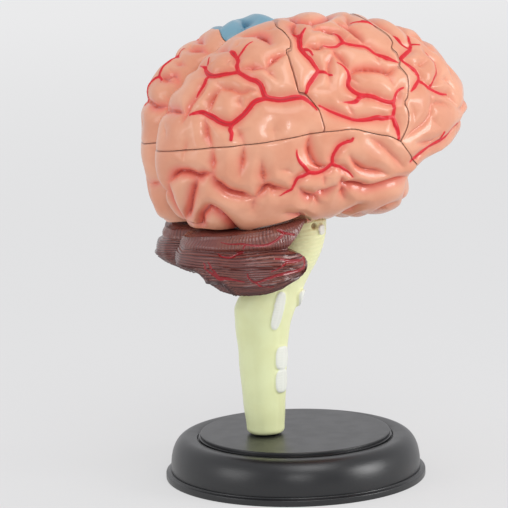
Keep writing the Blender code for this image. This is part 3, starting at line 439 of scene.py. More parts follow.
pale, tree, shader = plastic("stem_plastic", roughness=0.38)
add_skin(tree, shader, scale=1100.0, depth=0.00003, roughness=0.36, swing=0.06)
base = mixed(tree, between(tree, axis(tree, "X"), -0.016, -0.002), srgb(238, 245, 192), srgb(243, 245, 194))
base = mixed(tree, between(tree, noise(tree, 140.0, 4.0), 0.35, 0.7, 0.0, 0.3), base, srgb(226, 228, 164))
# Pons bands and medulla grooves turn darker olive with their depth: painted shade in the grooves.
base = mixed(tree, between(tree, stored(tree, "groove"), 0.15, 0.9, 0.0, 0.55), base, srgb(206, 204, 140))
base = mixed(tree, between(tree, stored(tree, "nerve"), 0.3, 0.8, 0.0, 0.85), base, srgb(238, 240, 236))
base = mixed(tree, between(tree, stored(tree, "root"), 0.1, 0.9, 0.0, 0.85), base, srgb(146, 112, 62))
tree.links.new(base, shader.inputs["Base Color"])
finish(stem, pale)
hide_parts("brain_stem")
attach(stem, "stem")


# Inner cores and deep organs. Each core is a smooth cream block with seats for the organs, and the
# organs are small satin mouldings in teaching colours that lie in them. All of them are hidden behind
# the lobes until these are pulled off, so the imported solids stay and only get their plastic.

ORGAN_COLOURS = {
    "white_matter": (232, 226, 212), "callosum": (226, 224, 214), "thalamus": (172, 124, 176),
    "nucleus": (108, 156, 204), "hippocampus": (122, 176, 128), "amygdala": (222, 172, 80),
    "gland": (214, 96, 96),
}


def organ_plastic(slot, colour):
    """Satin plastic with a slightly uneven tone."""
    made, tree, shader = plastic(slot + "_plastic", roughness=0.4)
    add_skin(tree, shader, scale=900.0, depth=0.00002, roughness=0.4, swing=0.06)
    deeper = srgb(*(0.88 * value for value in colour))
    base = mixed(tree, between(tree, noise(tree, 160.0, 3.0), 0.3, 0.75), srgb(*colour), deeper)
    tree.links.new(base, shader.inputs["Base Color"])
    return made


for slot, colour in ORGAN_COLOURS.items():
    made = organ_plastic(slot, colour)
    for row in frame["record"]["subparts"]:
        if row["material_slot"] == slot:
            organ = frame["nodes"][row["node"]]
            organ.data.materials.clear()
            organ.data.materials.append(made)


# Cerebellum. Two glossy maroon halves with fine level ridges, split by a deep level fissure, with a
# small lobule below the rear and dark red painted vessels. Each half is seated on the stem's lug and
# pegged into its side. Its sections stand along a bow that leads from the middle plane round to the tip
# beside the stem.

BOW = [(-26.0, 0.4), (-29.0, 24.0), (-7.5, 23.5)]     # x, y of the bow's three control points in mm
# Share of the way along the bow; reach of the section outwards, inwards, up and down in mm
BOW_SECTIONS = [
    (0.00, 11.5, 18.0, 7.6, 7.2), (0.06, 13.4, 17.5, 8.2, 7.0), (0.12, 15.6, 16.5, 8.7, 6.2),
    (0.22, 16.8, 14.5, 9.3, 5.1), (0.30, 16.2, 12.9, 9.5, 4.8), (0.345, 15.7, 12.3, 9.5, 5.4),
    (0.375, 15.2, 11.6, 9.6, 7.7), (0.43, 14.6, 10.8, 9.6, 9.0), (0.50, 13.2, 9.6, 9.7, 9.2),
    (0.58, 12.0, 8.9, 10.2, 9.1), (0.65, 10.6, 8.4, 10.6, 8.7), (0.72, 9.4, 8.0, 11.0, 8.0),
    (0.80, 8.0, 7.5, 11.5, 6.7), (0.92, 5.0, 5.5, 12.3, 3.9), (1.00, 1.0, 1.0, 12.5, 0.8),
]
# The right half is this much shallower below, in mm, at shares along the bow
RIGHT_UNDERCUT = [(0.0, 0.0), (0.06, 0.8), (0.15, 2.2), (0.26, 2.4), (0.33, 1.8), (0.375, 0.0), (1.0, 0.0)]
# Side view of the open front end of the level fissure: x and height over the middle in mm
FISSURE_MOUTH = [
    (-14.4, 3.9), (-10.8, 3.1), (-8.8, 1.7), (-7.2, -0.3), (0, -0.5), (0, 18), (-3.5, 18), (-5.6, 14),
    (-8.6, 11.2), (-13.4, 6.6), (-14.4, 5.2),
]
FISSURE_HEIGHT = 22            # degrees round the section
FOLIA = 40                     # ridges over the outer side, from top to bottom
GROUP = 4                      # ridges from one deeper valley to the next
UPPER_FOLIA = 50               # upright ridges of the upper layer, from the middle plane to the tip
FOLIA_DEPTH = 0.00034
CLEFT_DEPTH = 0.0014
VESSEL_HEIGHT = 0.00022
VESSEL_WIDTH = 1.25            # times the radius in the table
LINE_REACH = 0.002             # from a vessel or cleft, farther off it has no effect
HALF_SQUARE = 0.85             # below 1 it squares off the sections
TIP_LIFT = 1.3                 # in mm
SECTION_BLUR = 0.012           # share of the bow
KNOWN = 10.0                   # added to the values of the grid's own points, to tell them from cut ones

# Vessels: radius in mm at the start, middle and end, and points as (share along the bow, degrees round)
VESSELS = [
    (0.10, 0.26, 0.30, [(.46, 46), (.505, 42), (.575, 41), (.63, 36), (.70, 34), (.75, 38), (.806, 49),
         (.81, 57), (.78, 64)]),
    (0.20, 0.28, 0.22, [(.78, 63), (.81, 55), (.845, 50), (.885, 45)]),
    (0.24, 0.22, 0.18, [(.59, 38), (.588, 34), (.582, 30)]),
    (0.12, 0.40, 0.26, [(.445, 21), (.475, 17), (.52, 16.5), (.55, 21.5), (.575, 24)]),
    (0.20, 0.40, 0.16, [(.395, 5.5), (.415, -2.5), (.445, -8), (.47, -13), (.515, -14), (.59, -20)]),
    (0.14, 0.30, 0.26, [(.42, 7.5), (.455, -5), (.475, -13)]),
    (0.14, 0.32, 0.38, [(.61, -5.5), (.615, -12), (.64, -21), (.67, -21), (.71, -16), (.78, -10.5),
         (.865, -9)]),
    (0.36, 0.40, 0.55, [(.865, -9), (.92, -7), (.965, 1), (.955, 9)]),
    (0.14, 0.28, 0.20, [(.755, 12), (.80, 10.5), (.86, 8), (.91, 8)]),
    (0.12, 0.30, 0.34, [(.735, -2.5), (.78, 1), (.825, 6), (.86, 6), (.91, 6.5), (.955, 8)]),
    (0.12, 0.22, 0.12, [(.645, -23), (.69, -34), (.745, -42)]),
]
# Creases round the lobule below the rear and along the deeper level clefts: depth share, half width in
# mm, and points
CLEFTS = [
    (1.0, 1.3, [(.378, -37), (.39, -27), (.41, -23), (.44, -21), (.485, -21), (.505, -30), (.515, -42),
         (.525, -60)]),
    (0.45, 0.8, [(.36, -6), (.46, -22), (.56, -27), (.70, -30), (.84, -24)]),
    (0.45, 0.8, [(.16, -5), (.30, -4), (.45, 1), (.60, 4), (.78, 3), (.92, 2)]),
    (0.4, 0.8, [(.10, 44), (.26, 48), (.42, 56), (.60, 62), (.76, 66)]),
]


def cerebellum_surface(side, along, turn):
    """Smooth half, built on the left. turn 0 points outwards, 90 degrees up; sections are squarish ovals.

    The bow is a quadratic Bezier curve and each section stands across it, pinched at the level fissure.
    """
    weight = ((1 - along) ** 2, 2 * along * (1 - along), along ** 2)
    centre_x, centre_y = [sum(w * point[k] for w, point in zip(weight, BOW)) for k in (0, 1)]
    run_x, run_y = [(1 - along) * (BOW[1][k] - BOW[0][k]) + along * (BOW[2][k] - BOW[1][k])
                    for k in (0, 1)]
    length = np.hypot(run_x, run_y)
    out_x, out_y = -run_y / length, run_x / length * np.clip(along / 0.1, 0, 1)
    outward, inward, up, down = fitted(along, BOW_SECTIONS, SECTION_BLUR)
    if side == "right":
        down = down - fitted(along, RIGHT_UNDERCUT, SECTION_BLUR)[0]
    degrees = np.degrees(np.arcsin(np.clip(np.sin(turn), -1, 1)))
    c = squared(np.cos(turn), HALF_SQUARE - 0.35 * smooth_step(degrees, 20, 55))
    s = squared(np.sin(turn), HALF_SQUARE)
    fissure = np.exp(-((degrees - FISSURE_HEIGHT) / 6.0) ** 2) * (0.03 + 0.42 * along ** 2)
    lateral = np.where(c > 0, outward, inward) * c * (1 - fissure)
    tip = TIP_LIFT * along ** 3
    rise = np.where(s > 0, up * s - tip * (1 - np.clip(s, 0, 1)), down * s - tip)
    places = np.stack([centre_x + out_x * lateral, centre_y + out_y * lateral, rise], -1) * MM
    places[..., 1] = np.maximum(places[..., 1], BOW[0][1] * MM)
    places[..., 2] += CEREBELLUM_Z + 0.0013 * np.clip(1 - along / 0.3, 0, 1) ** 2
    return places


def smooth_line(points, steps=5):
    """Catmull-Rom curve through points: each run is a cubic that its neighbours steer."""
    p = np.array(points, dtype=float)
    p = np.concatenate([2 * p[:1] - p[1:2], p, 2 * p[-1:] - p[-2:-1]])
    a, b, c, d = p[:-3], p[1:-2], p[2:-1], p[3:]
    t = np.arange(steps)[:, None, None] / steps
    curve = 0.5 * (2 * b + (c - a) * t + (2 * a - 5 * b + 4 * c - d) * t ** 2
                   + (3 * b - a - 3 * c + d) * t ** 3)
    return np.concatenate([curve.transpose(1, 0, 2).reshape(-1, p.shape[1]), p[-2:-1]])


def near_line(places, line, reach):
    """Places within reach of a line of short runs: their indices, distances, and lengths walked along it."""
    low, high = line.min(0) - reach, line.max(0) + reach
    close = np.flatnonzero(((places > low) & (places < high)).all(1))
    start, run = line[:-1], np.diff(line, axis=0)
    length = np.maximum(np.linalg.norm(run, axis=1), 1e-9)
    offset = places[close][:, None] - start
    t = np.clip((offset * run).sum(-1) / length ** 2, 0, 1)
    away = np.linalg.norm(offset - t[..., None] * run, axis=-1)
    best = away.argmin(1)
    rows = np.arange(len(close))
    walked = np.concatenate([[0], np.cumsum(length)])
    along = walked[best] + t[rows, best] * length[best]
    return close, away[rows, best], along, walked[-1]


def ground(places):
    """Normals of a grid of places, from the cross product of its two directions."""
    across = np.cross(np.gradient(places, axis=0), np.gradient(places, axis=1))
    return across / np.maximum(np.linalg.norm(across, axis=-1, keepdims=True), 1e-12)


def on_cerebellum(side, points):
    """Points (share along the bow, degrees round) to places on the smooth half."""
    points = np.array(points, dtype=float)
    return cerebellum_surface(side, points[:, 0], np.radians(points[:, 1]))


def vessel_field(places, runs, surface, side, reach, width):
    """Signed distance inside painted vessels in mm: radius less distance, largest over all runs."""
    inside = np.full(len(places), -2.0)
    for start, middle, end, points in runs:
        close, away, walked, length = near_line(places, surface(side, smooth_line(points)), reach)
        radius = np.interp(walked / length, (0, 0.5, 1), (start, middle, end)) * width
        inside[close] = np.maximum(inside[close], radius - away / MM)
    return inside


def cerebellum_half(side):
    """One half with its ridges, clefts and raised vessels, and the fields that colour them."""
    outer = np.linspace(-math.pi / 2, math.pi / 2, 250)
    inner = np.linspace(math.pi / 2, 3 * math.pi / 2, 42)[1:-1]
    along, turn = np.meshgrid(np.linspace(0, 1, 290), np.concatenate([outer, inner]), indexing="ij")
    faces = tube_faces(*turn.shape)
    grid = cerebellum_surface(side, along, turn)
    places, normals = grid.reshape(-1, 3), ground(grid).reshape(-1, 3)
    along, turn = along.ravel(), turn.ravel()
    degrees = np.degrees(turn)
    wave = swell(places, seed=11, wavelength=0.013)
    level = np.arcsin(np.clip(squared(np.sin(turn), HALF_SQUARE), -1, 1)) / math.pi
    count = FOLIA * level + 0.4 * wave
    upright = UPPER_FOLIA * along + 0.09 * degrees * (along - 0.55) + 0.9 * wave
    upper = smooth_step(degrees, FISSURE_HEIGHT + 1, FISSURE_HEIGHT + 5)
    valley = (1 - np.abs(np.sin(math.pi * count))) ** 1.5 * (1 - upper)
    uneven = 0.5 + 0.25 * np.clip(swell(places, seed=23, wavelength=0.004), -1, 1)
    valley += uneven * (1 - np.abs(np.sin(math.pi * upright))) ** 1.2 * upper
    deeper = np.abs((count / GROUP + 0.5) % 1 - 0.5) * GROUP
    valley *= 0.70 + 0.40 * np.exp(-(deeper / 0.6) ** 2) * (1 - upper)
    outside = smooth_step(np.cos(turn), -0.03, 0.10 + 0.28 * smooth_step(-degrees, 0, 30))
    inside = vessel_field(places, VESSELS, on_cerebellum, side, LINE_REACH, VESSEL_WIDTH)
    cleft = np.zeros(len(places))
    for share, half_width, points in CLEFTS:
        line = on_cerebellum(side, smooth_line(points))
        close, away, walked, length = near_line(places, line, LINE_REACH)
        ends = np.clip(np.minimum(walked, length - walked) / 0.003, 0, 1)
        depth = share * ends * np.clip(1 - away / (half_width * MM), 0, 1) ** 1.5
        cleft[close] = np.maximum(cleft[close], depth)
    clear = 1 - 0.85 * smooth_step(inside, -0.25, 0.05)
    push = -FOLIA_DEPTH * valley * outside * clear - CLEFT_DEPTH * cleft * outside
    push += VESSEL_HEIGHT * np.sqrt(np.clip(inside / 0.3, 0, 1)) * outside + 0.00018 * wave * outside
    push *= np.minimum(smooth_step(along, 0.0, 0.02), smooth_step(-along, -1.0, -0.97))
    values = {"valley": valley + KNOWN, "vessel": inside + KNOWN, "cleft": cleft + KNOWN}
    obj = mesh_piece(f"{side}_cerebellum_moulding", places + normals * push[:, None], faces, values)
    if side == "right":
        obj.data.transform(Matrix.Scale(-1, 4, (0, 1, 0)))
        obj.data.flip_normals()
    return obj


def refill(mesh, key):
    """Give the points that a cut made the mean value of the grid points they are joined to."""
    count = len(mesh.vertices)
    held = mesh.attributes[key]
    value = np.empty(count, dtype=np.float32)
    held.data.foreach_get("value", value)
    edges = np.empty(len(mesh.edges) * 2, dtype=np.int32)
    mesh.edges.foreach_get("vertices", edges)
    pairs = np.concatenate([edges.reshape(-1, 2), edges.reshape(-1, 2)[:, ::-1]])
    known = value > KNOWN / 2
    weight = np.bincount(pairs[:, 0], known[pairs[:, 1]], count)
    total = np.bincount(pairs[:, 0], value[pairs[:, 1]] * known[pairs[:, 1]], count)
    filled = np.where(known, value, total / np.maximum(weight, 1)) - KNOWN * (known | (weight > 0))
    held.data.foreach_set("value", filled.astype(np.float32))


def prism(outline, y_near, y_far):
    """Anticlockwise side-view outline carried straight across the brain."""
    points = np.array(outline)
    rings = [np.insert(points, 1, y, axis=1) for y in (max(y_near, y_far), min(y_near, y_far))]
    return mesh_piece("prism", np.concatenate(rings), tube_faces(2, len(points)))


def stem_space():
    """Room for the stem and the relief on its face."""
    rows, sides = 60, 96
    height, turn = np.meshgrid(np.linspace(STEM_BOTTOM, STEM_TOP, rows),
                               np.arange(sides) * 2 * math.pi / sides, indexing="ij")
    places = stem_surface(2 * FIT, height, turn).reshape(-1, 3)
    return mesh_piece("stem_space", places, tube_faces(rows, sides))


maroon, tree, shader = plastic("cerebellum_plastic", roughness=0.3, coat=0.3, coat_roughness=0.18)
add_skin(tree, shader, scale=900.0, depth=0.00003, roughness=0.32, swing=0.08)
base = mixed(tree, between(tree, noise(tree, 120.0, 3.0), 0.35, 0.68), srgb(116, 60, 54), srgb(128, 74, 62))
# The valleys between the ridges are darkened: painted shade.
base = mixed(tree, between(tree, stored(tree, "valley"), 0.02, 0.55), base, srgb(72, 30, 29))
# The deeper clefts are darkened further: painted shade.
base = mixed(tree, between(tree, stored(tree, "cleft"), 0.1, 0.8), base, srgb(56, 20, 20))
base = mixed(tree, between(tree, stored(tree, "vessel"), -0.06, 0.04), base, srgb(142, 4, 22))
tree.links.new(base, shader.inputs["Base Color"])
for side, mirror in (("right", -1), ("left", 1)):
    half = cerebellum_half(side)
    join(half, stem_space(), "DIFFERENCE")
    join(half, prism(np.array(FISSURE_MOUTH) * MM + (0, CEREBELLUM_Z), -0.05, 0.05), "DIFFERENCE")
    join(half, rod("lug_space", (LUG_START, 0, LUG_Z), (LUG_END - FIT, 0, LUG_Z), LUG_RADIUS + FIT,
                   sides=40), "DIFFERENCE")
    join(half, rod("side_peg", (SIDE_PEG_X, mirror * (LUG_RADIUS + OVERLAP), LUG_Z),
                   (SIDE_PEG_X, mirror * (LUG_RADIUS - SIDE_PEG_LENGTH), LUG_Z), SIDE_PEG_RADIUS,
                   sides=24), "UNION")
    for key in ("valley", "vessel", "cleft"):
        refill(half.data, key)
    crisp(half, degrees=60)
    finish(half, maroon)
    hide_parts(f"{side}_cerebellum")
    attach(half, f"{side}_cerebellum")


# Cortex. Each hemisphere is a hollow peach moulding in four lobes that meet at thin open seams and peg
# onto the inner core; the left middle lobe is moulded in blue. The folds are moulded, their creases are
# washed with thin red, and the arteries stand a little proud and are painted bright red.

BRAIN_TILT = math.radians(7.0)
BRAIN_HALF_WIDTH = 0.037
RIM_Y = 0.009                  # where the outer side ends and the rim rounds over
RIM_DROP = 0.15                # share of the reach that the rounding takes
FISSURE = 0.0008               # open gap between the hemispheres
SEAM = 0.0002                  # open gap between two lobes
FAR = 0.065                    # outside the brain on every side
NEAR = -0.001                  # a little past the middle plane
CORE_HALF_LENGTH = 0.034
CORE_HALF_HEIGHT = 0.018
CORE_DEPTH = 0.017
CORE_RISE = 0.001
PEG_RADIUS = 0.0019
PEG_LENGTH = 0.008
CEREBELLUM_ROOM = (-0.0235, 0.0205, 0.0102)    # over the cerebellum: centre x, half length and rise
FRONT_ROOM = (-0.0135, 0.0105, 0.0128)         # the same for the higher space over its front end
FRONT_LEAN = 0.22              # radians
FOLD_DEPTH = 0.0032
FOLD_WIDTH = 0.0048
FOLD_FLOOR = 0.0004
FOLD_ROUND = 1.8               # 2 makes the shoulders of a fold quarter circles
CREASE_END = 0.004             # length over which a crease dies out
SWELL_HEIGHT = 0.0003
SEAM_EDGE = 0.0004             # how far the lobes' edges are rounded down beside a seam
RELIEF_LIMITS = (120, 20)      # degrees from the outermost point where relief ends, and its fade
ARTERY_HEIGHT = 0.00045
ARTERY_WIDTH = 1.08            # times the radius in the table
GRID = 401
SIDE_SHARE = 0.80              # part of the grid that covers the outer side of a hemisphere

# Side view of a hemisphere: angle from the forehead in degrees, distance from the centre in mm
OUTLINE = [
    (0, 49.2), (10, 48.7), (20, 46.8), (28, 44.7), (34, 44.1), (40, 42.3), (60, 38.2), (80, 36.2),
    (100, 36.5), (120, 38.0), (140, 41.5), (160, 46.0), (180, 48.0), (190, 48.0), (200, 47.0), (208, 45.0),
    (216, 41.0), (225, 36.0), (240, 28.5), (255, 24.5), (270, 24.0), (285, 26.5), (300, 30.5), (310, 33.5),
    (320, 35.5), (330, 36.0), (338, 36.7), (345, 40.0), (352, 45.8),
]
# The left hemisphere's outline differs by this much in mm
LEFT_REACH = [
    (0, -0.5), (50, -1.2), (72, -3), (86, -3.4), (91, -2.0), (94.5, -0.6), (99, 1.0), (104.5, -1.0),
    (110, 1.6), (118, 1.3), (128, 1.6), (140, 2.2), (150, 2.6), (160, 1.6), (172, -0.8), (186, -1.0),
    (193, 0.6), (200, 2.8), (204, 3.4), (209, 2.4), (216, 1), (228, 0), (360, -0.5),
]
# Hollow between the pole of the lower lobe and the underside of the front one, in chart degrees
NOTCH = [(40, -18), (48, -26), (60, -35), (75, -35), (88, -34)]
NOTCH_DEPTH = 0.0065
NOTCH_WIDTH = 0.011

# Lines on a hemisphere are in chart degrees: (forward, up) of its outermost point, 90 at the rim
LOWER_REAR = [(-89.6, 8), (-70, 7.6), (-50, 7.1), (-40, 6.6), (-30, 6.4), (-20, 6.6), (-7.5, 7.3)]
LOWER_MIDDLE = [(-7.5, 7.3), (0, 7.3), (5, 6.3), (10, 3.6), (15, 1.6), (20, 0), (25.5, -3)]
LOWER_FRONT = [(25.5, -3), (30, -8), (38, -16), (45, -22), (60, -35), (83.3, -33.7)]
FRONTAL_SEAM = [
    (25.5, -3), (28, 1.2), (29, 4), (29.7, 7), (29, 11.2), (31, 13.5), (33, 16.3), (34.2, 19), (35, 23),
    (34.3, 28.3), (36.1, 30), (36.6, 34.7), (35.5, 38.5), (38.4, 42.4), (39.3, 47.5), (38.5, 51.5),
    (37.5, 58), (38.5, 76), (38.2, 81.4),
]
REAR_SEAM = {
    "right": [
        (-7.5, 7.3), (-7, 9), (-7.3, 12), (-7.8, 17), (-9, 19.5), (-10.8, 23), (-12.5, 25.5), (-15, 27),
        (-15.5, 34), (-16, 41), (-16.5, 50), (-14.5, 51.5), (-13.3, 57), (-14, 62), (-15, 66), (-17.7, 74),
        (-15.7, 88.5),
    ],
    "left": [(-7.5, 7.3), (-14, 14), (-19, 20), (-24, 30), (-28, 36), (-31, 50), (-37, 60), (-41.7, 79.6)],
}

# Arteries: radius in mm at the start, middle and end of each run, and its points
ARTERIES = [
    # rear lobe
    (0.20, 0.80, 0.60, [(-61.5, 62.5), (-62, 57), (-63, 54), (-58.5, 47.5), (-54.5, 45), (-48.5, 44.5),
         (-45, 44), (-41.7, 44)]),
    (0.60, 0.70, 0.75, [(-41.7, 44), (-38.5, 40.5), (-35.5, 37.6), (-32.8, 35.9), (-30.9, 33.5), (-30, 30.5),
         (-29.3, 27.8), (-28, 26)]),
    (0.75, 0.80, 0.25, [(-28, 26), (-26, 25.2), (-22.1, 24.2), (-18, 24.6), (-15, 24.6), (-13, 23.6),
         (-10.9, 21), (-8.9, 17.6)]),
    (0.15, 0.40, 0.60, [(-70, 61), (-65, 57), (-62.6, 54.6)]),
    (0.50, 0.60, 0.20, [(-58.5, 47.5), (-59, 43.5), (-60.5, 38.7), (-61.8, 35.5), (-62.5, 33.5)]),
    (0.65, 0.60, 0.55, [(-41.7, 44), (-42.5, 48.5), (-42.3, 52.5), (-43.3, 55.5)]),
    (0.50, 0.80, 0.35, [(-43.3, 55.5), (-44.6, 58), (-46, 60.5), (-47.7, 63)]),
    (0.55, 0.40, 0.15, [(-43.3, 55.5), (-40.2, 57), (-36.5, 61), (-33.5, 63)]),
    (0.65, 0.75, 0.70, [(-28, 26), (-32.2, 25.4), (-34, 24.4), (-35.2, 22.8), (-36.2, 21.5), (-38, 19.5),
         (-40.2, 17.8), (-42.7, 16.2)]),
    (0.70, 0.85, 0.35, [(-42.7, 16.2), (-45.5, 16.8), (-48.7, 18.5), (-51.2, 20.5), (-54, 22.3), (-56.8, 24),
         (-59.3, 24.3), (-61.5, 24), (-63.5, 23.8)]),
    (0.65, 0.60, 0.45, [(-42.7, 16.2), (-43.3, 14), (-42.5, 12), (-42.8, 9.5)]),
    # middle lobe
    (0.20, 0.60, 0.70, [(-10.8, 65.6), (-8, 62.5), (-8.5, 58.5)]),
    (0.20, 0.60, 0.70, [(-2.6, 66), (-6, 62.5), (-8.5, 58.5)]),
    (0.80, 0.60, 0.55, [(-8.5, 58.5), (-9, 55), (-9.3, 53), (-7.8, 48), (-6, 44.5), (-5, 40.7), (-4, 37)]),
    (0.55, 0.45, 0.30, [(-4, 37), (-1.5, 35.5), (1.6, 33.3)]),
    (0.55, 0.65, 0.40, [(-4, 37), (-6.5, 34.5), (-8.8, 32), (-10.6, 29.7), (-12, 26.5)]),
    (0.50, 0.40, 0.25, [(-9, 52.5), (-5.5, 50), (-4.5, 46.5)]),
    (0.15, 0.45, 0.55, [(12, 59.5), (13.5, 57.5), (14, 54.5), (14, 51.2)]),
    (0.55, 0.40, 0.20, [(14, 51.2), (11.6, 50), (9.2, 49.2), (6, 50), (3.3, 51.7)]),
    (0.50, 0.45, 0.45, [(14, 51.2), (16.3, 49.2), (20.8, 46.8), (24.3, 45), (26, 42.3), (27.1, 38.8)]),
    (0.45, 0.75, 0.20, [(27.1, 38.8), (29.8, 36.5), (32, 34.3), (33.8, 32.3), (35.3, 30.6)]),
    (0.30, 0.75, 0.20, [(33.5, 64), (36.5, 60.5), (38.3, 55.8)]),
    (0.30, 0.50, 0.60, [(28, 66.5), (31.5, 63.2), (36, 61)]),
    (0.15, 0.45, 0.55, [(6, 39), (8, 37.3), (9.3, 35), (10, 32.3), (9.8, 30)]),
    (0.55, 0.60, 0.50, [(9.8, 30), (8.5, 27.7), (8.6, 25.2), (10.2, 22.5), (12.2, 20.5), (14.7, 19.2)]),
    (0.60, 0.55, 0.55, [(14.7, 19.2), (17.5, 17.5), (20.3, 15), (22.8, 13.5), (25, 12.8)]),
    (0.55, 0.65, 0.15, [(14.7, 19.2), (12, 19.3), (10.7, 18.8), (8.6, 18), (4, 19.5)]),
    (0.55, 0.45, 0.25, [(25, 12.8), (27, 15.8), (29.3, 17.5), (31.6, 18)]),
    (0.55, 0.50, 0.50, [(25, 12.8), (24, 9.5), (23, 7)]),
    (0.55, 0.70, 0.45, [(23, 7), (23.7, 4), (24.4, 1), (24.7, -1.7)]),
    (0.55, 0.70, 0.40, [(23, 6.8), (20.5, 7.2), (18.2, 7.4), (16.2, 8.2), (12.7, 8.3), (10, 8.8),
         (7.3, 9.8)]),
    (0.40, 0.40, 0.25, [(7.3, 9.8), (3.2, 12.8), (-0.5, 15.2), (-3.7, 17.2), (-7.6, 19.7)]),
    # front lobe
    (0.25, 0.50, 0.50, [(45, 48.3), (46, 45.3), (46, 41.3), (47, 39.5), (48.8, 37.2)]),
    (0.25, 0.50, 0.50, [(57, 48), (55.4, 45), (52.6, 41.2), (48.8, 37.2)]),
    (0.45, 0.45, 0.25, [(52.9, 42.2), (54, 40), (56.3, 38.4)]),
    (0.55, 0.65, 0.50, [(48.8, 37.2), (42.8, 34.6), (38.8, 32.5), (39.1, 30), (41.5, 27.1), (42.7, 24.5),
         (43, 21.9), (42, 19.7)]),
    (0.50, 0.55, 0.20, [(42, 19.7), (38.2, 17.4), (34.3, 15.6)]),
    (0.50, 0.50, 0.50, [(42, 19.7), (43.8, 17.5), (46.8, 15.3)]),
    (0.50, 0.45, 0.20, [(46.8, 15.3), (50, 13.3), (54.6, 11.5), (59.4, 10.6)]),
    (0.45, 0.40, 0.15, [(46.5, 15.5), (49.5, 17.5), (52.6, 19.5), (56.5, 21.8), (58.7, 24.5), (58.6, 27),
         (56.9, 30), (55.4, 34)]),
    (0.40, 0.50, 0.50, [(53.4, -5.4), (53, -7.8), (56, -10.8)]),
    (0.25, 0.50, 0.55, [(69, -4.8), (64.7, -7.7), (61, -10.4), (56, -10.8)]),
    (0.60, 0.65, 0.30, [(56, -10.8), (51, -10.8), (46.9, -11.2), (42.1, -12.6), (37.9, -14.4), (34.9, -15)]),
    # lower lobe
    (0.20, 0.50, 0.55, [(-17.5, 2), (-17.6, 0), (-17, -2.7), (-16, -4.8), (-15.2, -8.4)]),
    (0.50, 0.40, 0.15, [(-15.2, -8.4), (-17.7, -9.5), (-19.9, -10), (-22.3, -13), (-24, -15), (-26.7, -16),
         (-29.1, -17)]),
    (0.55, 0.50, 0.50, [(-15.2, -8.4), (-13, -9.8), (-10.3, -10), (-7.6, -8.7), (-6.1, -7.8)]),
    (0.50, 0.50, 0.35, [(-6.1, -7.8), (-5, -4), (-2.8, -1), (-0.6, 0.9), (1.7, 1.4), (3.5, 1.5),
         (4.4, 2.4)]),
    (0.50, 0.35, 0.15, [(-6.1, -7.8), (-5, -10.5), (0, -15.6), (2.7, -17.9), (5.2, -21.2)]),
]

# The left side's own artery and creases, over its rear and its blue middle lobe
LEFT_ARTERIES = [
    (0.30, 0.75, 0.40, [(-62, 59), (-67.5, 56.5), (-72.7, 50.2), (-75, 44), (-76, 37), (-77, 32),
         (-78, 27)]),
    (0.45, 0.35, 0.15, [(-74, 45), (-80.2, 47.2), (-84.5, 47.3)]),
]
LEFT_CREASES = [
    (0.9, [(-24, 84), (-27.7, 92.9), (-34.2, 97.5), (-38, 101)]),
    (0.8, [(-60, 66), (-63.6, 67.3), (-67.1, 74.6), (-72.3, 81.7), (-75.5, 84.9)]),
    (0.8, [(-74, 45), (-77.2, 46.5), (-84.4, 52.4), (-87.7, 58.2), (-96, 58.9), (-99.5, 56.1)]),
    (0.9, [(-86, 32), (-92.4, 32.7), (-100.8, 36.3), (-106, 39.5), (-111.7, 37.5)]),
    (0.5, [(-99, 44.6), (-103.2, 44.8), (-105, 40.1)]),
    (0.5, [(-75.6, 54.6), (-85, 57.9)]),
]

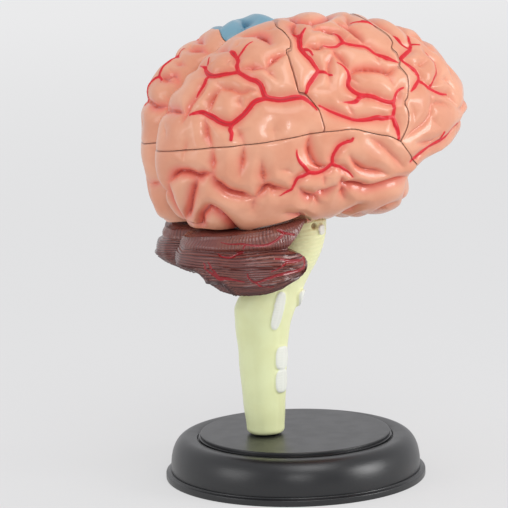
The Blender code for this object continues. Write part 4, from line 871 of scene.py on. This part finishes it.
# Creases between the folds: depth share, and points
CREASES = [
    # rear lobe
    (1.0, [(-40, 79), (-34, 76), (-30.5, 73.7), (-26, 66.5), (-24, 60)]),
    (0.6, [(-24, 75), (-21.5, 74)]),
    (0.8, [(-17.3, 50), (-21.6, 48.8), (-24.6, 46.7), (-26.9, 43.5), (-28.3, 41.9)]),
    (0.8, [(-28.3, 41.9), (-30.3, 43), (-33.6, 44.1), (-37, 45.2), (-40.3, 45.8)]),
    (0.7, [(-28.3, 41.9), (-25.4, 37.7), (-24.3, 35.6)]),
    (0.9, [(-62, 57), (-63, 54), (-58.5, 47.5), (-54.5, 45), (-48.5, 44.5), (-41.7, 44), (-35.5, 37.6),
         (-30.9, 33.5), (-29.3, 27.8), (-28, 26), (-22.1, 24.2), (-15, 24.6), (-13, 23.6), (-10.9, 21)]),
    (0.8, [(-58.5, 47.5), (-59, 43.5), (-60.5, 38.7), (-62.5, 33.5)]),
    (0.8, [(-47.7, 63), (-43.3, 55.5), (-42.5, 48.5), (-41.7, 44)]),
    (0.6, [(-52.3, 40.3), (-48.3, 35.5), (-43.8, 33.5), (-39.2, 30.5), (-35.3, 31), (-31.2, 29)]),
    (0.8, [(-48.3, 35.5), (-51.3, 33.3), (-53.3, 29.5), (-53.6, 25), (-53.7, 22.3)]),
    (0.65, [(-39.2, 30.2), (-39.8, 27.5), (-38.7, 23.8), (-37.2, 21.7)]),
    (0.7, [(-57.1, 43.5), (-59.8, 36.5), (-62.8, 32.5), (-65, 29), (-66.2, 25), (-67.8, 21.2)]),
    (0.6, [(-47.8, 50.5), (-45.8, 54)]),
    (0.9, [(-28, 26), (-34, 24.4), (-36.2, 21.5), (-42.7, 16.2), (-48.7, 18.5), (-54, 22.3), (-59.3, 24.3)]),
    (0.8, [(-99, 35), (-90, 33.2), (-81.1, 30.8), (-74, 28.3), (-67.3, 25.2)]),
    (0.35, [(-64.5, 14.6), (-65.3, 10.8), (-66.5, 6.9), (-67, 3.5)]),
    (0.35, [(-84.1, 20.6), (-81.5, 16.4)]),
    (0.7, [(-97, 57.5), (-88, 52.5), (-80, 47)]),
    (0.6, [(-84, 68), (-77, 62), (-71, 57)]),
    (0.6, [(-107, -17.8), (-95.5, -15.8), (-86, -14.3)]),
    (0.6, [(-90, -40), (-81, -36), (-75, -34.5)]),
    (0.5, [(-43.6, 65), (-42.4, 67)]),
    (0.6, [(-40.8, 15.2), (-39.5, 12.1), (-38.1, 9), (-37.3, 6.7)]),
    (0.7, [(-56.2, 22), (-54.7, 16.8), (-54.2, 13.2), (-52.7, 9.7), (-51.7, 6.7)]),
    (0.4, [(-25.5, 13), (-25.5, 8)]),
    (0.6, [(-70, 61), (-66, 58.5), (-62, 57)]),
    (0.8, [(-47.7, 63), (-52, 68), (-55, 71), (-62, 78)]),
    # middle lobe
    (0.9, [(2, 64.6), (6.3, 64.4), (9.8, 61.4), (12, 59.5), (13.5, 57.5), (14, 54.5), (14, 51.2),
         (20.8, 46.8), (24.3, 45), (26, 42.3), (29.8, 36.5), (35.3, 30.6)]),
    (0.8, [(-8.8, 52.3), (-4.9, 53.3), (-0.8, 51), (3.3, 51.7), (9.2, 49.2), (14, 51.2)]),
    (0.7, [(6.5, 49.5), (6.9, 46.7), (7.2, 44.4), (8.4, 42.3), (9.4, 39.8), (10.3, 36), (10, 32.3)]),
    (0.9, [(10, 32.3), (8.5, 27.7), (8.6, 25.2), (12.2, 20.5), (17.5, 17.5), (20.3, 15), (25, 12.8),
         (29.3, 17.5), (31.6, 18)]),
    (0.9, [(19, 68), (20, 64.6), (21.8, 61.5), (23, 58.3), (24.2, 53), (24.7, 49), (25, 46)]),
    (0.9, [(12, 33), (16.3, 32.6), (21.5, 30.8), (25.8, 28.5), (27.8, 26.6), (30.8, 27.3), (34.3, 28.3)]),
    (0.7, [(27.8, 26.6), (27.6, 23), (27.2, 19.6)]),
    (0.7, [(27, 38.5), (26.4, 35.6), (26, 32.4)]),
    (0.6, [(6.5, 46), (1.9, 39.3), (0.6, 34.5), (-0.5, 29.6)]),
    (0.25, [(-11.1, 26.5), (-6.8, 27.3), (-1.8, 26.2)]),
    (0.7, [(20.4, 31.5), (14.2, 32.8), (11.6, 32), (10.8, 29.7), (12.3, 26.4)]),
    (0.6, [(5.3, 18.6), (6.3, 14.8), (7.7, 11)]),
    (0.3, [(-8.5, 17), (-8.8, 21), (-11.5, 25), (-15, 29), (-16, 38), (-16.8, 49)]),
    (0.8, [(-10.8, 65.6), (-8.5, 58.5), (-9.3, 53), (-7.8, 48), (-5, 40.7), (-4, 37), (-8.8, 32),
         (-12, 26.5)]),
    (0.8, [(25, 12.8), (24, 9.5), (23, 7), (24.7, -1.7)]),
    (0.8, [(23, 7), (18.2, 7.4), (12.7, 8.3), (7.3, 9.8), (3.2, 12.8), (-3.7, 17.2), (-7.6, 19.7)]),
    (0.6, [(13, 18.5), (9, 18), (4, 19.5), (2, 20)]),
    (0.9, [(-3, 94), (-4, 89), (-3, 80), (4, 74), (13, 76), (22, 82), (24, 86), (26, 97)]),
    (0.8, [(-3, 80), (-9, 72), (-8.5, 58.5)]),
    (0.7, [(30, 74), (26, 66), (21.8, 61.5)]),
    (0.6, [(4, 74), (3, 69), (2, 64.6)]),
    # front lobe
    (0.8, [(45, 48.3), (46, 41.3), (48.8, 37.2), (42.8, 34.6), (38.8, 32.5), (41.5, 27.1), (43, 21.9),
         (42, 19.7), (34.3, 15.6)]),
    (0.8, [(57, 48), (52.6, 41.2), (48.8, 37.2)]),
    (0.7, [(43.2, 27.8), (46.7, 27), (52.5, 28.2)]),
    (0.5, [(45.4, 13.1), (44.8, 9.1), (43.7, 6.4), (42.6, 3.9), (38.3, 1.3), (30.3, -1.3), (27.5, -2.8)]),
    (0.5, [(43.7, 6.4), (46.1, 8.4), (53, 7.3), (58, 4.4)]),
    (0.45, [(43.3, 3.8), (46.5, 0.1), (49, -2)]),
    (0.5, [(55.5, 19.1), (62.1, 17), (65.1, 11.5)]),
    (0.7, [(42, 19.7), (46.8, 15.3), (54.6, 11.5), (59.4, 10.6), (61, 8.5), (64, 5)]),
    (0.7, [(46.8, 15.3), (54.9, 19.7), (60.4, 26), (60, 29.6), (57.4, 34)]),
    (0.4, [(32, 9.6), (32.8, 7.2), (32.4, 3.6)]),
    (0.6, [(35.4, -5.9), (45.5, -8.3), (51.1, -6.6)]),
    (0.8, [(69, -4.8), (61, -10.4), (51, -10.8), (42.1, -12.6), (34.9, -15)]),
    (0.6, [(57, 48), (63, 46), (68, 38), (73, 34)]),
    (0.8, [(57, 48), (62, 62), (68, 72)]),
    (0.8, [(52, 74), (46, 66), (45, 48.3)]),
    (0.8, [(52, 74), (56, 84), (58, 92)]),
    (0.5, [(64, 3), (72, 2), (78, 5)]),
    (0.5, [(68, 17), (74, 24), (73, 34)]),
    (0.7, [(62, -20), (72, -22), (82, -21)]),
    (0.8, [(70, -8), (76, -4), (84, -6), (92, -9)]),
    (0.8, [(72, 2), (79, 6), (86, 5)]),
    (0.8, [(73, 34), (79, 30), (84, 22), (90, 18)]),
    (0.8, [(68, 38), (74, 46), (80, 52)]),
    (0.7, [(66, 56), (71, 60), (78, 66)]),
    # lower lobe
    (0.75, [(-51.7, 6.7), (-51.8, 2.7), (-52.2, -0.8), (-53, -3.7)]),
    (1.0, [(-53, -3.7), (-56.9, -3.7), (-60.2, -4.6), (-62.2, -3.9), (-65.2, -2.8), (-68.4, -2.5),
         (-72.1, -2.5), (-75.7, -3.7), (-79.4, -6), (-82, -8)]),
    (0.9, [(-61, -4.6), (-62.3, -7), (-64.6, -10.2), (-67.3, -14.6), (-69.8, -19), (-73.5, -24.5),
         (-80, -32)]),
    (1.0, [(-53, -3.7), (-53.1, -5.9), (-52.2, -8), (-50.7, -9.6), (-49.3, -11.3), (-47.7, -12.6),
         (-45, -13.8), (-42.4, -14.8), (-40.3, -16.2), (-38.5, -16.8)]),
    (1.0, [(-38.5, -16.8), (-35.7, -14.4), (-33, -12), (-31.2, -11.7), (-29.9, -13), (-28, -13.7),
         (-25, -15)]),
    (0.8, [(-38.5, -16.8), (-40, -19.5), (-41.5, -22.5)]),
    (0.7, [(-37.3, 6.7), (-38.3, 2.8), (-39.7, -1.8), (-41.2, -5)]),
    (0.8, [(-31.1, -0.6), (-31.4, -2.9), (-31.8, -5.9), (-32.4, -9), (-33, -12)]),
    (0.6, [(-24.5, -5.2), (-22.5, -5.5), (-21, -6.8)]),
    (0.8, [(-12.2, 7), (-12.8, 3.7), (-12.9, 0.7), (-12.3, -2.8), (-11.2, -6.4), (-9, -8.6), (-6.5, -8.5)]),
    (0.8, [(-25, -15), (-22.3, -13), (-19.9, -10), (-15.2, -8.4), (-10.3, -10), (-6.1, -7.8), (-5, -4),
         (-0.6, 0.9), (4.4, 2.4)]),
    (0.9, [(-21, -15.5), (-20.8, -19.8), (-19.1, -25), (-17, -27.5), (-16.5, -33)]),
    (0.8, [(-19.1, -25), (-15, -25), (-12, -27), (-5, -26)]),
    (0.7, [(-10.8, -12.5), (-11.2, -15), (-12, -18.5)]),
    (0.9, [(-75, -34.5), (-70.5, -34.5), (-66.3, -27), (-62.4, -23), (-59.5, -20.8), (-57.4, -22),
         (-55.7, -24.7), (-54.8, -28.8), (-54.9, -34.3), (-56, -41.5), (-58, -55), (-58, -66)]),
    (0.8, [(-30.5, -31), (-28.8, -36), (-26.5, -40), (-26, -52), (-30, -66), (-44, -70)]),
    (0.8, [(-6.1, -7.8), (-5, -10.5), (0, -15.6), (2.7, -17.9), (5.2, -21.2)]),
    (0.8, [(3.5, -6.4), (5.2, -9.6), (7.9, -12.9), (11.3, -15.4), (15.3, -16.6), (19.2, -17.8),
         (23, -19.7)]),
    (0.6, [(11, 1.3), (15.9, -2.1), (20, -5.6), (25.4, -10.9), (30.8, -16.6)]),
    (1.0, [(-2, -21.5), (-1.3, -26), (2.4, -27.3), (6.2, -27.5), (10.7, -28.6), (13.2, -30), (17.3, -29.7),
         (22, -28.1), (26.8, -26.6), (31, -26), (35.8, -27), (42, -30)]),
    (0.9, [(-1.3, -26), (-1, -33), (0, -38)]),
    (0.8, [(11.5, -46), (8, -53), (3, -62)]),
    (0.8, [(38, -47), (33, -51), (31, -57), (33, -68), (36, -80)]),
    (0.7, [(-82, -8), (-84, -20), (-83, -34)]),
    (0.7, [(-30, -66), (-16, -64), (-10, -78)]),
    (0.7, [(3, -62), (5, -76), (4, -86)]),
    (0.7, [(18, -58), (20, -70), (18, -82)]),
    (0.7, [(48, -44), (56, -52), (62, -60)]),
]


def blurred_outline(side, blur):
    """Outline radius every half degree, rounded by a circular Gaussian of the given width in degrees."""
    rows = np.array(OUTLINE + [(360, OUTLINE[0][1])])
    turn = np.arange(720) / 2
    reach = np.interp(turn, *rows.T)
    if side == "left":
        reach += np.interp(turn, *np.array(LEFT_REACH, dtype=float).T)
    weight = np.exp(-0.5 * (np.minimum(turn, 360 - turn) / blur) ** 2)
    table = np.real(np.fft.ifft(np.fft.fft(reach * MM) * np.fft.fft(weight / weight.sum())))
    return np.append(turn, 360), np.append(table, table[0])


FINE_OUTLINE = {side: blurred_outline(side, 3.5) for side in ("right", "left")}
SOFT_OUTLINE = {side: blurred_outline(side, 22.0) for side in ("right", "left")}


def hemisphere_surface(side, out, turn):
    """Smooth hemisphere of the given outline, built level on the left, centred on the brain.

    out is the angle from its outermost point and turn the direction in side view. Up to 90 degrees the
    side swells from the rim, width by cos(out)^0.95 and reach by sin(out); past that it rounds over the
    rim and runs down the flat inner wall.
    """
    s, c = np.abs(np.sin(out)), np.cos(out)
    angle = np.degrees(turn) % 360
    rim_share = np.where(c >= 0, s ** 6, 1.0)
    reach = (np.interp(angle, *SOFT_OUTLINE[side]) * (1 - rim_share)
             + np.interp(angle, *FINE_OUTLINE[side]) * rim_share)
    over = np.clip(-2 * c, 0, 1) * math.pi / 2
    down = np.clip(-2 * c - 1, 0, 1)
    inner = (1 - RIM_DROP * (1 - np.cos(over))) * (1 - down)
    lateral = RIM_Y + (BRAIN_HALF_WIDTH - RIM_Y) * np.abs(c) ** 0.95
    medial = RIM_Y - (RIM_Y - FISSURE / 2) * np.sin(over)
    reach = reach * np.where(c >= 0, s, inner)
    return np.stack([reach * np.cos(turn), np.where(c >= 0, lateral, medial), reach * np.sin(turn)], -1)


def chart(side, points):
    """Chart degrees to places on the smooth hemisphere."""
    points = np.array(points, dtype=float)
    return hemisphere_surface(side, np.radians(np.hypot(points[:, 0], points[:, 1])),
                              np.arctan2(points[:, 1], points[:, 0]))


def square_chart(count):
    """Angles out and turn over a square grid laid out as nested squares, so that no quads bunch up."""
    u, v = np.meshgrid(np.linspace(-1, 1, count), np.linspace(-1, 1, count), indexing="ij")
    reach = np.maximum(np.abs(u), np.abs(v))
    wide = np.abs(u) >= np.abs(v)
    slope = np.where(wide, v, u) / np.where(reach == 0, 1, np.where(wide, u, v))
    turn = np.where(wide, slope, 2 - slope) * math.pi / 4 + np.where(np.where(wide, u, v) < 0, math.pi, 0)
    return np.interp(reach, (0, SIDE_SHARE, 1), (0, math.pi / 2, math.pi)), turn


def crease_field(side, places):
    """Depth of the folds, 0 to about 1: every crease has round shoulders and dies out at its ends."""
    total = np.zeros(len(places))
    for share, points in CREASES + (LEFT_CREASES if side == "left" else []):
        close, away, walked, length = near_line(places, chart(side, smooth_line(points)), FOLD_WIDTH)
        t = np.clip((np.hypot(away, FOLD_FLOOR) - FOLD_FLOOR) / FOLD_WIDTH, 0, 1)
        shoulder = 1 - (1 - (1 - t) ** FOLD_ROUND) ** (1 / FOLD_ROUND)
        ends = np.clip(np.minimum(walked, length - walked) / CREASE_END, 0, 1)
        total[close] += (share * (0.45 + 0.55 * ends) * shoulder) ** 4
    return np.minimum(total ** 0.25, 1.1)


def notch_field(side, places):
    """How far the hollow in front of the lower lobe is pressed in, in metres."""
    close, away, walked, length = near_line(places, chart(side, smooth_line(NOTCH)), NOTCH_WIDTH)
    depth = np.zeros(len(places))
    depth[close] = (NOTCH_DEPTH * np.clip(1 - (away / NOTCH_WIDTH) ** 2, 0, 1) ** 2
                    * np.clip(walked / length / 0.45, 0, 1))
    return depth


def nested_faces(count):
    """Faces of a nested-square grid closed at its border, and which of its points they use."""
    index = np.arange(count * count).reshape(count, count)
    quads = np.stack([index[1:-2, 1:-2], index[2:-1, 1:-2], index[2:-1, 2:-1], index[1:-2, 2:-1]], -1)
    quads = quads.reshape(-1, 4)
    ring = np.concatenate([index[1, 1:-2], index[1:-2, -2], index[-2, -2:1:-1], index[-2:1:-1, 1]])
    fan = np.stack([ring, np.roll(ring, -1), np.zeros_like(ring)], -1)
    keep = np.zeros((count, count), dtype=bool)
    keep[1:-1, 1:-1] = True
    keep[0, 0] = True
    keep = keep.ravel()
    order = np.cumsum(keep) - 1
    return [order[quads][:, ::-1], order[fan][:, ::-1]], keep


OUT, TURN = square_chart(GRID)


def seam_lines(side):
    """Side-view curves of one hemisphere's seams."""
    lines = {"rear": LOWER_REAR, "middle": LOWER_MIDDLE, "front": LOWER_FRONT, "frontal": FRONTAL_SEAM,
             "parietal": REAR_SEAM[side]}
    return {name: chart(side, smooth_line(points))[:, [0, 2]] for name, points in lines.items()}


def folded(side):
    """Places of one hemisphere's grid, creases pressed in and arteries raised, and the fields behind them."""
    grid = hemisphere_surface(side, OUT, TURN)
    smooth = grid.reshape(-1, 3)
    crease = crease_field(side, smooth)
    runs = ARTERIES + (LEFT_ARTERIES if side == "left" else [])
    artery = vessel_field(smooth, runs, chart, side, 0.003, ARTERY_WIDTH)
    beside = smooth_step(artery, -0.7, -0.1)
    pressed = crease * (1 - beside) + np.minimum(crease, 0.55) * beside
    relief = np.sqrt(np.clip(artery / 0.7, 0, 1))
    wave = swell(smooth, seed=3, wavelength=0.016)
    push = relief * ARTERY_HEIGHT - pressed * FOLD_DEPTH + SWELL_HEIGHT * wave
    seam = np.full(len(push), 1.0)
    flat = smooth[:, [0, 2]]
    for line in seam_lines(side).values():
        close, away = near_line(flat, line, 0.001)[:2]
        seam[close] = np.minimum(seam[close], away / MM)
    push -= SEAM_EDGE * (1 - np.sqrt(1 - (1 - np.clip(seam, 0, 1)) ** 2))
    limit, fade = RELIEF_LIMITS
    push *= np.clip((limit - np.degrees(OUT).ravel()) / fade, 0, 1)
    push -= notch_field(side, smooth)
    places = smooth - ground(grid).reshape(-1, 3) * push[:, None]
    return places, {"crease": crease, "artery": artery, "seam": seam}


def inset(outline, distance):
    """Closed side-view outline moved inwards, with mitred corners; it comes back anticlockwise."""
    points = np.array(outline, dtype=float)
    following = np.roll(points, -1, 0)
    if np.sum(points[:, 0] * following[:, 1] - following[:, 0] * points[:, 1]) < 0:
        points = points[::-1]
    edge = np.roll(points, -1, 0) - points
    edge /= np.linalg.norm(edge, axis=1)[:, None]
    normal = np.stack([-edge[:, 1], edge[:, 0]], 1)
    before = np.roll(normal, 1, 0)
    return points + (normal + before) * (distance / (1 + np.sum(normal * before, 1)))[:, None]


def ellipse(half_x, half_z, centre=(0.0, 0.0), sides=64, tilt=0.0, power=1.0):
    """Points of an ellipse in side view, turned by tilt; a power below 1 squares it off."""
    turn = np.arange(sides) * 2 * math.pi / sides
    x, z = half_x * squared(np.cos(turn), power), half_z * squared(np.sin(turn), power)
    return np.stack([centre[0] + x * math.cos(tilt) - z * math.sin(tilt),
                     centre[1] + x * math.sin(tilt) + z * math.cos(tilt)], 1)


def lobe_outlines(side):
    """Side-view outlines of the four lobes of a hemisphere, along the middle of the seams."""
    seam = seam_lines(side)
    rear, middle, front, frontal = seam["rear"], seam["middle"], seam["front"], seam["frontal"]
    parietal = seam["parietal"]
    rear_end, front_end = [(-FAR, rear[0][1])], [(FAR, front[-1][1])]
    top_rear, top_front = [(parietal[-1][0], FAR)], [(frontal[-1][0], FAR)]
    return {
        "parietal": np.concatenate([rear_end, rear, parietal[1:], top_rear, [(-FAR, FAR)]]),
        "central": np.concatenate([middle, frontal[1:], top_front, top_rear, parietal[:0:-1]]),
        "frontal": np.concatenate([front, front_end, [(FAR, FAR)], top_front, frontal[:0:-1]]),
        "temporal": np.concatenate([rear_end, [(-FAR, -FAR)], [(FAR, -FAR)], front_end, front[::-1],
                                    middle[-2::-1], rear[-2::-1]]),
    }


PEGS = {
    "right": {"parietal": (-16, 10), "central": (9, 12), "frontal": (29.5, 0), "temporal": (10, -12)},
    "left": {"parietal": (-25, 8), "central": (2, 12.5), "frontal": (29.5, 0), "temporal": (10, -12)},
}
LEVEL = math.cos(BRAIN_TILT), math.sin(BRAIN_TILT)


def into_brain(x, z):
    """Side-view place on the model to the level frame of the brain."""
    z = z - BRAIN_CENTRE_Z
    return x * LEVEL[0] + z * LEVEL[1], z * LEVEL[0] - x * LEVEL[1]


def stem_hole():
    """Hole for the stem's peg, square to the table."""
    low = into_brain(STEM_PEG_X, STEM_TOP - 0.002)
    high = into_brain(STEM_PEG_X, STEM_TOP + STEM_PEG_LENGTH + FIT)
    sides = 24
    turn = np.arange(sides) * 2 * math.pi / sides
    radius = STEM_PEG_RADIUS + FIT
    rings = [np.stack([x + radius * np.cos(turn) * LEVEL[0], radius * np.sin(turn),
                       z - radius * np.cos(turn) * LEVEL[1]], 1) for x, z in (low, high)]
    return mesh_piece("stem_hole", np.concatenate(rings), tube_faces(2, sides))


def into_place(mesh, side):
    """Turn a level left-hand piece into its place on the model, mirrored for the right side."""
    c, s = LEVEL
    mirror = -1 if side == "right" else 1
    mesh.transform(Matrix(((c, 0, -s, 0), (0, mirror, 0, 0), (s, 0, c, BRAIN_CENTRE_Z), (0, 0, 0, 1))))
    if mirror < 0:
        mesh.flip_normals()


def cortex_plastic():
    """Glossy peach plastic: lighter crests, pink-red wash in the creases, bright red arteries, and painted
    shade along the seams.
    """
    made, tree, shader = plastic("peach_plastic", roughness=0.4, coat_roughness=0.12)
    add_skin(tree, shader, scale=900.0, depth=0.00003, roughness=0.4, swing=0.07)
    crease, artery, seam = (stored(tree, name) for name in ("crease", "artery", "seam"))
    patch = between(tree, noise(tree, 90.0, 3.0), 0.35, 0.65)
    base = mixed(tree, patch, srgb(221, 149, 117), srgb(230, 165, 133))
    paint = calc(tree, "MULTIPLY", between(tree, noise(tree, 38.0, 2.0), 0.36, 0.56, 0.55, 1.0),
                 between(tree, axis(tree, "X"), -0.01, 0.03, 1.0, 0.5))
    for low, high, wash in ((0.10, 0.60, srgb(230, 122, 100)), (0.48, 0.98, srgb(202, 82, 70))):
        base = mixed(tree, calc(tree, "MULTIPLY", between(tree, crease, low, high), paint), base, wash)
    base = mixed(tree, between(tree, artery, -0.5, 0.0, 0.0, 0.3), base, srgb(225, 90, 85))
    blood = mixed(tree, between(tree, artery, 0.42, 0.8), srgb(214, 12, 34), srgb(176, 8, 28))
    base = mixed(tree, between(tree, artery, -0.03, 0.05), base, blood)
    # Brown beside the seams between lobes: painted shade in the gaps.
    base = mixed(tree, between(tree, seam, 0.10, 0.36, 0.5, 0.0), base, srgb(120, 62, 44))
    tree.links.new(base, shader.inputs["Base Color"])
    bare = between(tree, artery, -0.03, 0.05, 1.0, 0.0)
    gloss = calc(tree, "MULTIPLY", between(tree, crease, 0.25, 0.8, 0.4, 0.9), bare)
    tree.links.new(gloss, shader.inputs["Coat Weight"])
    return made


def blue_plastic():
    """Glossy blue plastic, a little paler on the crests, with darker blue in the creases as painted shade."""
    made, tree, shader = plastic("blue_plastic", roughness=0.3, coat=0.25, coat_roughness=0.16)
    add_skin(tree, shader, scale=900.0, depth=0.00003, roughness=0.34, swing=0.07)
    crease = stored(tree, "crease")
    # Darker blue by crease depth: painted shade in the creases.
    base = mixed(tree, between(tree, crease, 0.05, 0.6), srgb(112, 158, 178), srgb(58, 120, 150))
    tree.links.new(base, shader.inputs["Base Color"])
    return made


PEACH, BLUE = cortex_plastic(), blue_plastic()
FACES, KEEP = nested_faces(GRID)
hollow_outline = ellipse(CORE_HALF_LENGTH + FIT, CORE_HALF_HEIGHT + FIT, (0, CORE_RISE))
cerebellum_tops = [
    ellipse(half_length, rise, into_brain(x, CEREBELLUM_Z), tilt=lean - BRAIN_TILT, power=1 / 3)
    for (x, half_length, rise), lean in ((CEREBELLUM_ROOM, 0.0), (FRONT_ROOM, FRONT_LEAN))
]
for side in ("right", "left"):
    places, fields = folded(side)
    values = {key: field[KEEP] + KNOWN for key, field in fields.items()}
    for lobe, outline in lobe_outlines(side).items():
        name = f"{side}_{lobe}_lobe"
        obj = mesh_piece(name + "_moulding", places[KEEP], FACES, values)
        join(obj, prism(inset(outline, SEAM / 2), NEAR, FAR), "INTERSECT")
        join(obj, prism(hollow_outline, NEAR, CORE_DEPTH + FIT), "DIFFERENCE")
        if lobe == "temporal":
            join(obj, stem_hole(), "DIFFERENCE")
            for cerebellum_top in cerebellum_tops:
                join(obj, prism(cerebellum_top, NEAR, FAR), "DIFFERENCE")
        x, z = PEGS[side][lobe]
        peg = ellipse(PEG_RADIUS, PEG_RADIUS, (x * MM, z * MM + CORE_RISE), sides=24)
        join(obj, prism(peg, CORE_DEPTH - PEG_LENGTH, CORE_DEPTH + OVERLAP), "UNION")
        for key in values:
            refill(obj.data, key)
        into_place(obj.data, side)
        crisp(obj, degrees=60)
        blue = name == "left_central_lobe"
        finish(obj, BLUE if blue else PEACH)
        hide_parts(name)
        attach(obj, f"{side}_{lobe}")


# Studio: a pale floor that runs out to the horizon, glowing with painted light that grows towards the back,
# a dim room round it, four soft lights and the camera at the photograph's viewpoint.

PHOTO_SIZE = 508               # pixels
PIXEL = 0.0003                 # of the photograph at the model, in metres
CAMERA_AIM = Vector((-0.0145, 0.0046, 0.0677))
CAMERA_AZIMUTH, CAMERA_PITCH, CAMERA_ROLL = map(math.radians, (-17.5, 9.6, -1.3))
CAMERA_DISTANCE = 0.80
LAMP_AIM = (0, 0, 0.08)
FLOOR_HALF = 3

paper, tree, shader = plastic("pale_paper", roughness=0.9)
tree.nodes.remove(shader)
# For camera and glossy rays the floor glows by emission, more strongly towards the back: painted light. Its
# weak diffuse part still takes real shadows.
seen = node(tree, "LightPath")
direct = calc(tree, "MAXIMUM", seen.outputs["Is Camera Ray"],
              calc(tree, "MAXIMUM", seen.outputs["Is Glossy Ray"], seen.outputs["Is Transmission Ray"]))
strength = between(tree, axis(tree, "Y"), -0.3, 2.0, 0.52, 0.66)
glow = node(tree, "Emission", {"Color": (1.0, 1.0, 1.0, 1), "Strength": strength})
shade = node(tree, "BsdfDiffuse", {"Color": (0.24, 0.24, 0.245, 1)})
glowing_floor = node(tree, "AddShader", {0: glow.outputs[0], 1: shade.outputs[0]})
bounce = node(tree, "BsdfDiffuse", {"Color": (0.72, 0.72, 0.73, 1)})
look = node(tree, "MixShader", {0: direct, 1: bounce.outputs[0], 2: glowing_floor.outputs[0]})
tree.links.new(look.outputs[0], tree.nodes["Material Output"].inputs["Surface"])

corners = np.array([(-1, -1, 0), (1, -1, 0), (1, 1, 0), (-1, 1, 0)]) * FLOOR_HALF
floor = mesh_piece("floor", corners, [np.array([[0, 1, 2, 3]])])
floor.data.materials.append(paper)

world = bpy.context.scene.world or bpy.data.worlds.new("studio")
bpy.context.scene.world = world
world.use_nodes = True
world.node_tree.nodes["Background"].inputs["Color"].default_value = (0.80, 0.80, 0.82, 1)
room = between(world.node_tree, axis(world.node_tree, "Y", "Generated"), -0.9, 0.2, 0.55, 0.95)
world.node_tree.links.new(room, world.node_tree.nodes["Background"].inputs["Strength"])


def softbox(name, spot, size, power):
    """Square area light of the given side in metres, facing the model."""
    lamp = bpy.data.lights.new(name, "AREA")
    lamp.size = size
    lamp.energy = power
    obj = bpy.data.objects.new(name, lamp)
    obj.location = spot
    obj.rotation_euler = (Vector(LAMP_AIM) - Vector(spot)).to_track_quat("-Z", "Y").to_euler()
    bpy.context.scene.collection.objects.link(obj)


softbox("key_light", (0.82, -0.62, 0.34), size=0.42, power=4.4)
softbox("top_light", (0.0, -0.65, 0.95), size=0.6, power=3.2)
softbox("camera_light", (-0.27, -1.0, 0.36), size=0.14, power=0.9)
softbox("fill_light", (-0.95, -0.22, 0.32), size=0.4, power=1.3)

camera = bpy.data.cameras.new("camera")
camera.lens = camera.sensor_width * CAMERA_DISTANCE / (PIXEL * PHOTO_SIZE)
camera.clip_start, camera.clip_end = 0.05, 20
eye = bpy.data.objects.new("camera", camera)
level = Vector((math.cos(CAMERA_AZIMUTH), math.sin(CAMERA_AZIMUTH), 0))
back = Vector((level.y * math.cos(CAMERA_PITCH), -level.x * math.cos(CAMERA_PITCH), math.sin(CAMERA_PITCH)))
upward = back.cross(level)
right = level * math.cos(CAMERA_ROLL) + upward * math.sin(CAMERA_ROLL)
up = upward * math.cos(CAMERA_ROLL) - level * math.sin(CAMERA_ROLL)
eye.matrix_world = Matrix((right, up, back)).transposed().to_4x4()
eye.location = CAMERA_AIM + back * CAMERA_DISTANCE
bpy.context.scene.collection.objects.link(eye)
bpy.context.scene.camera = eye
bpy.context.scene.view_settings.view_transform = "Standard"
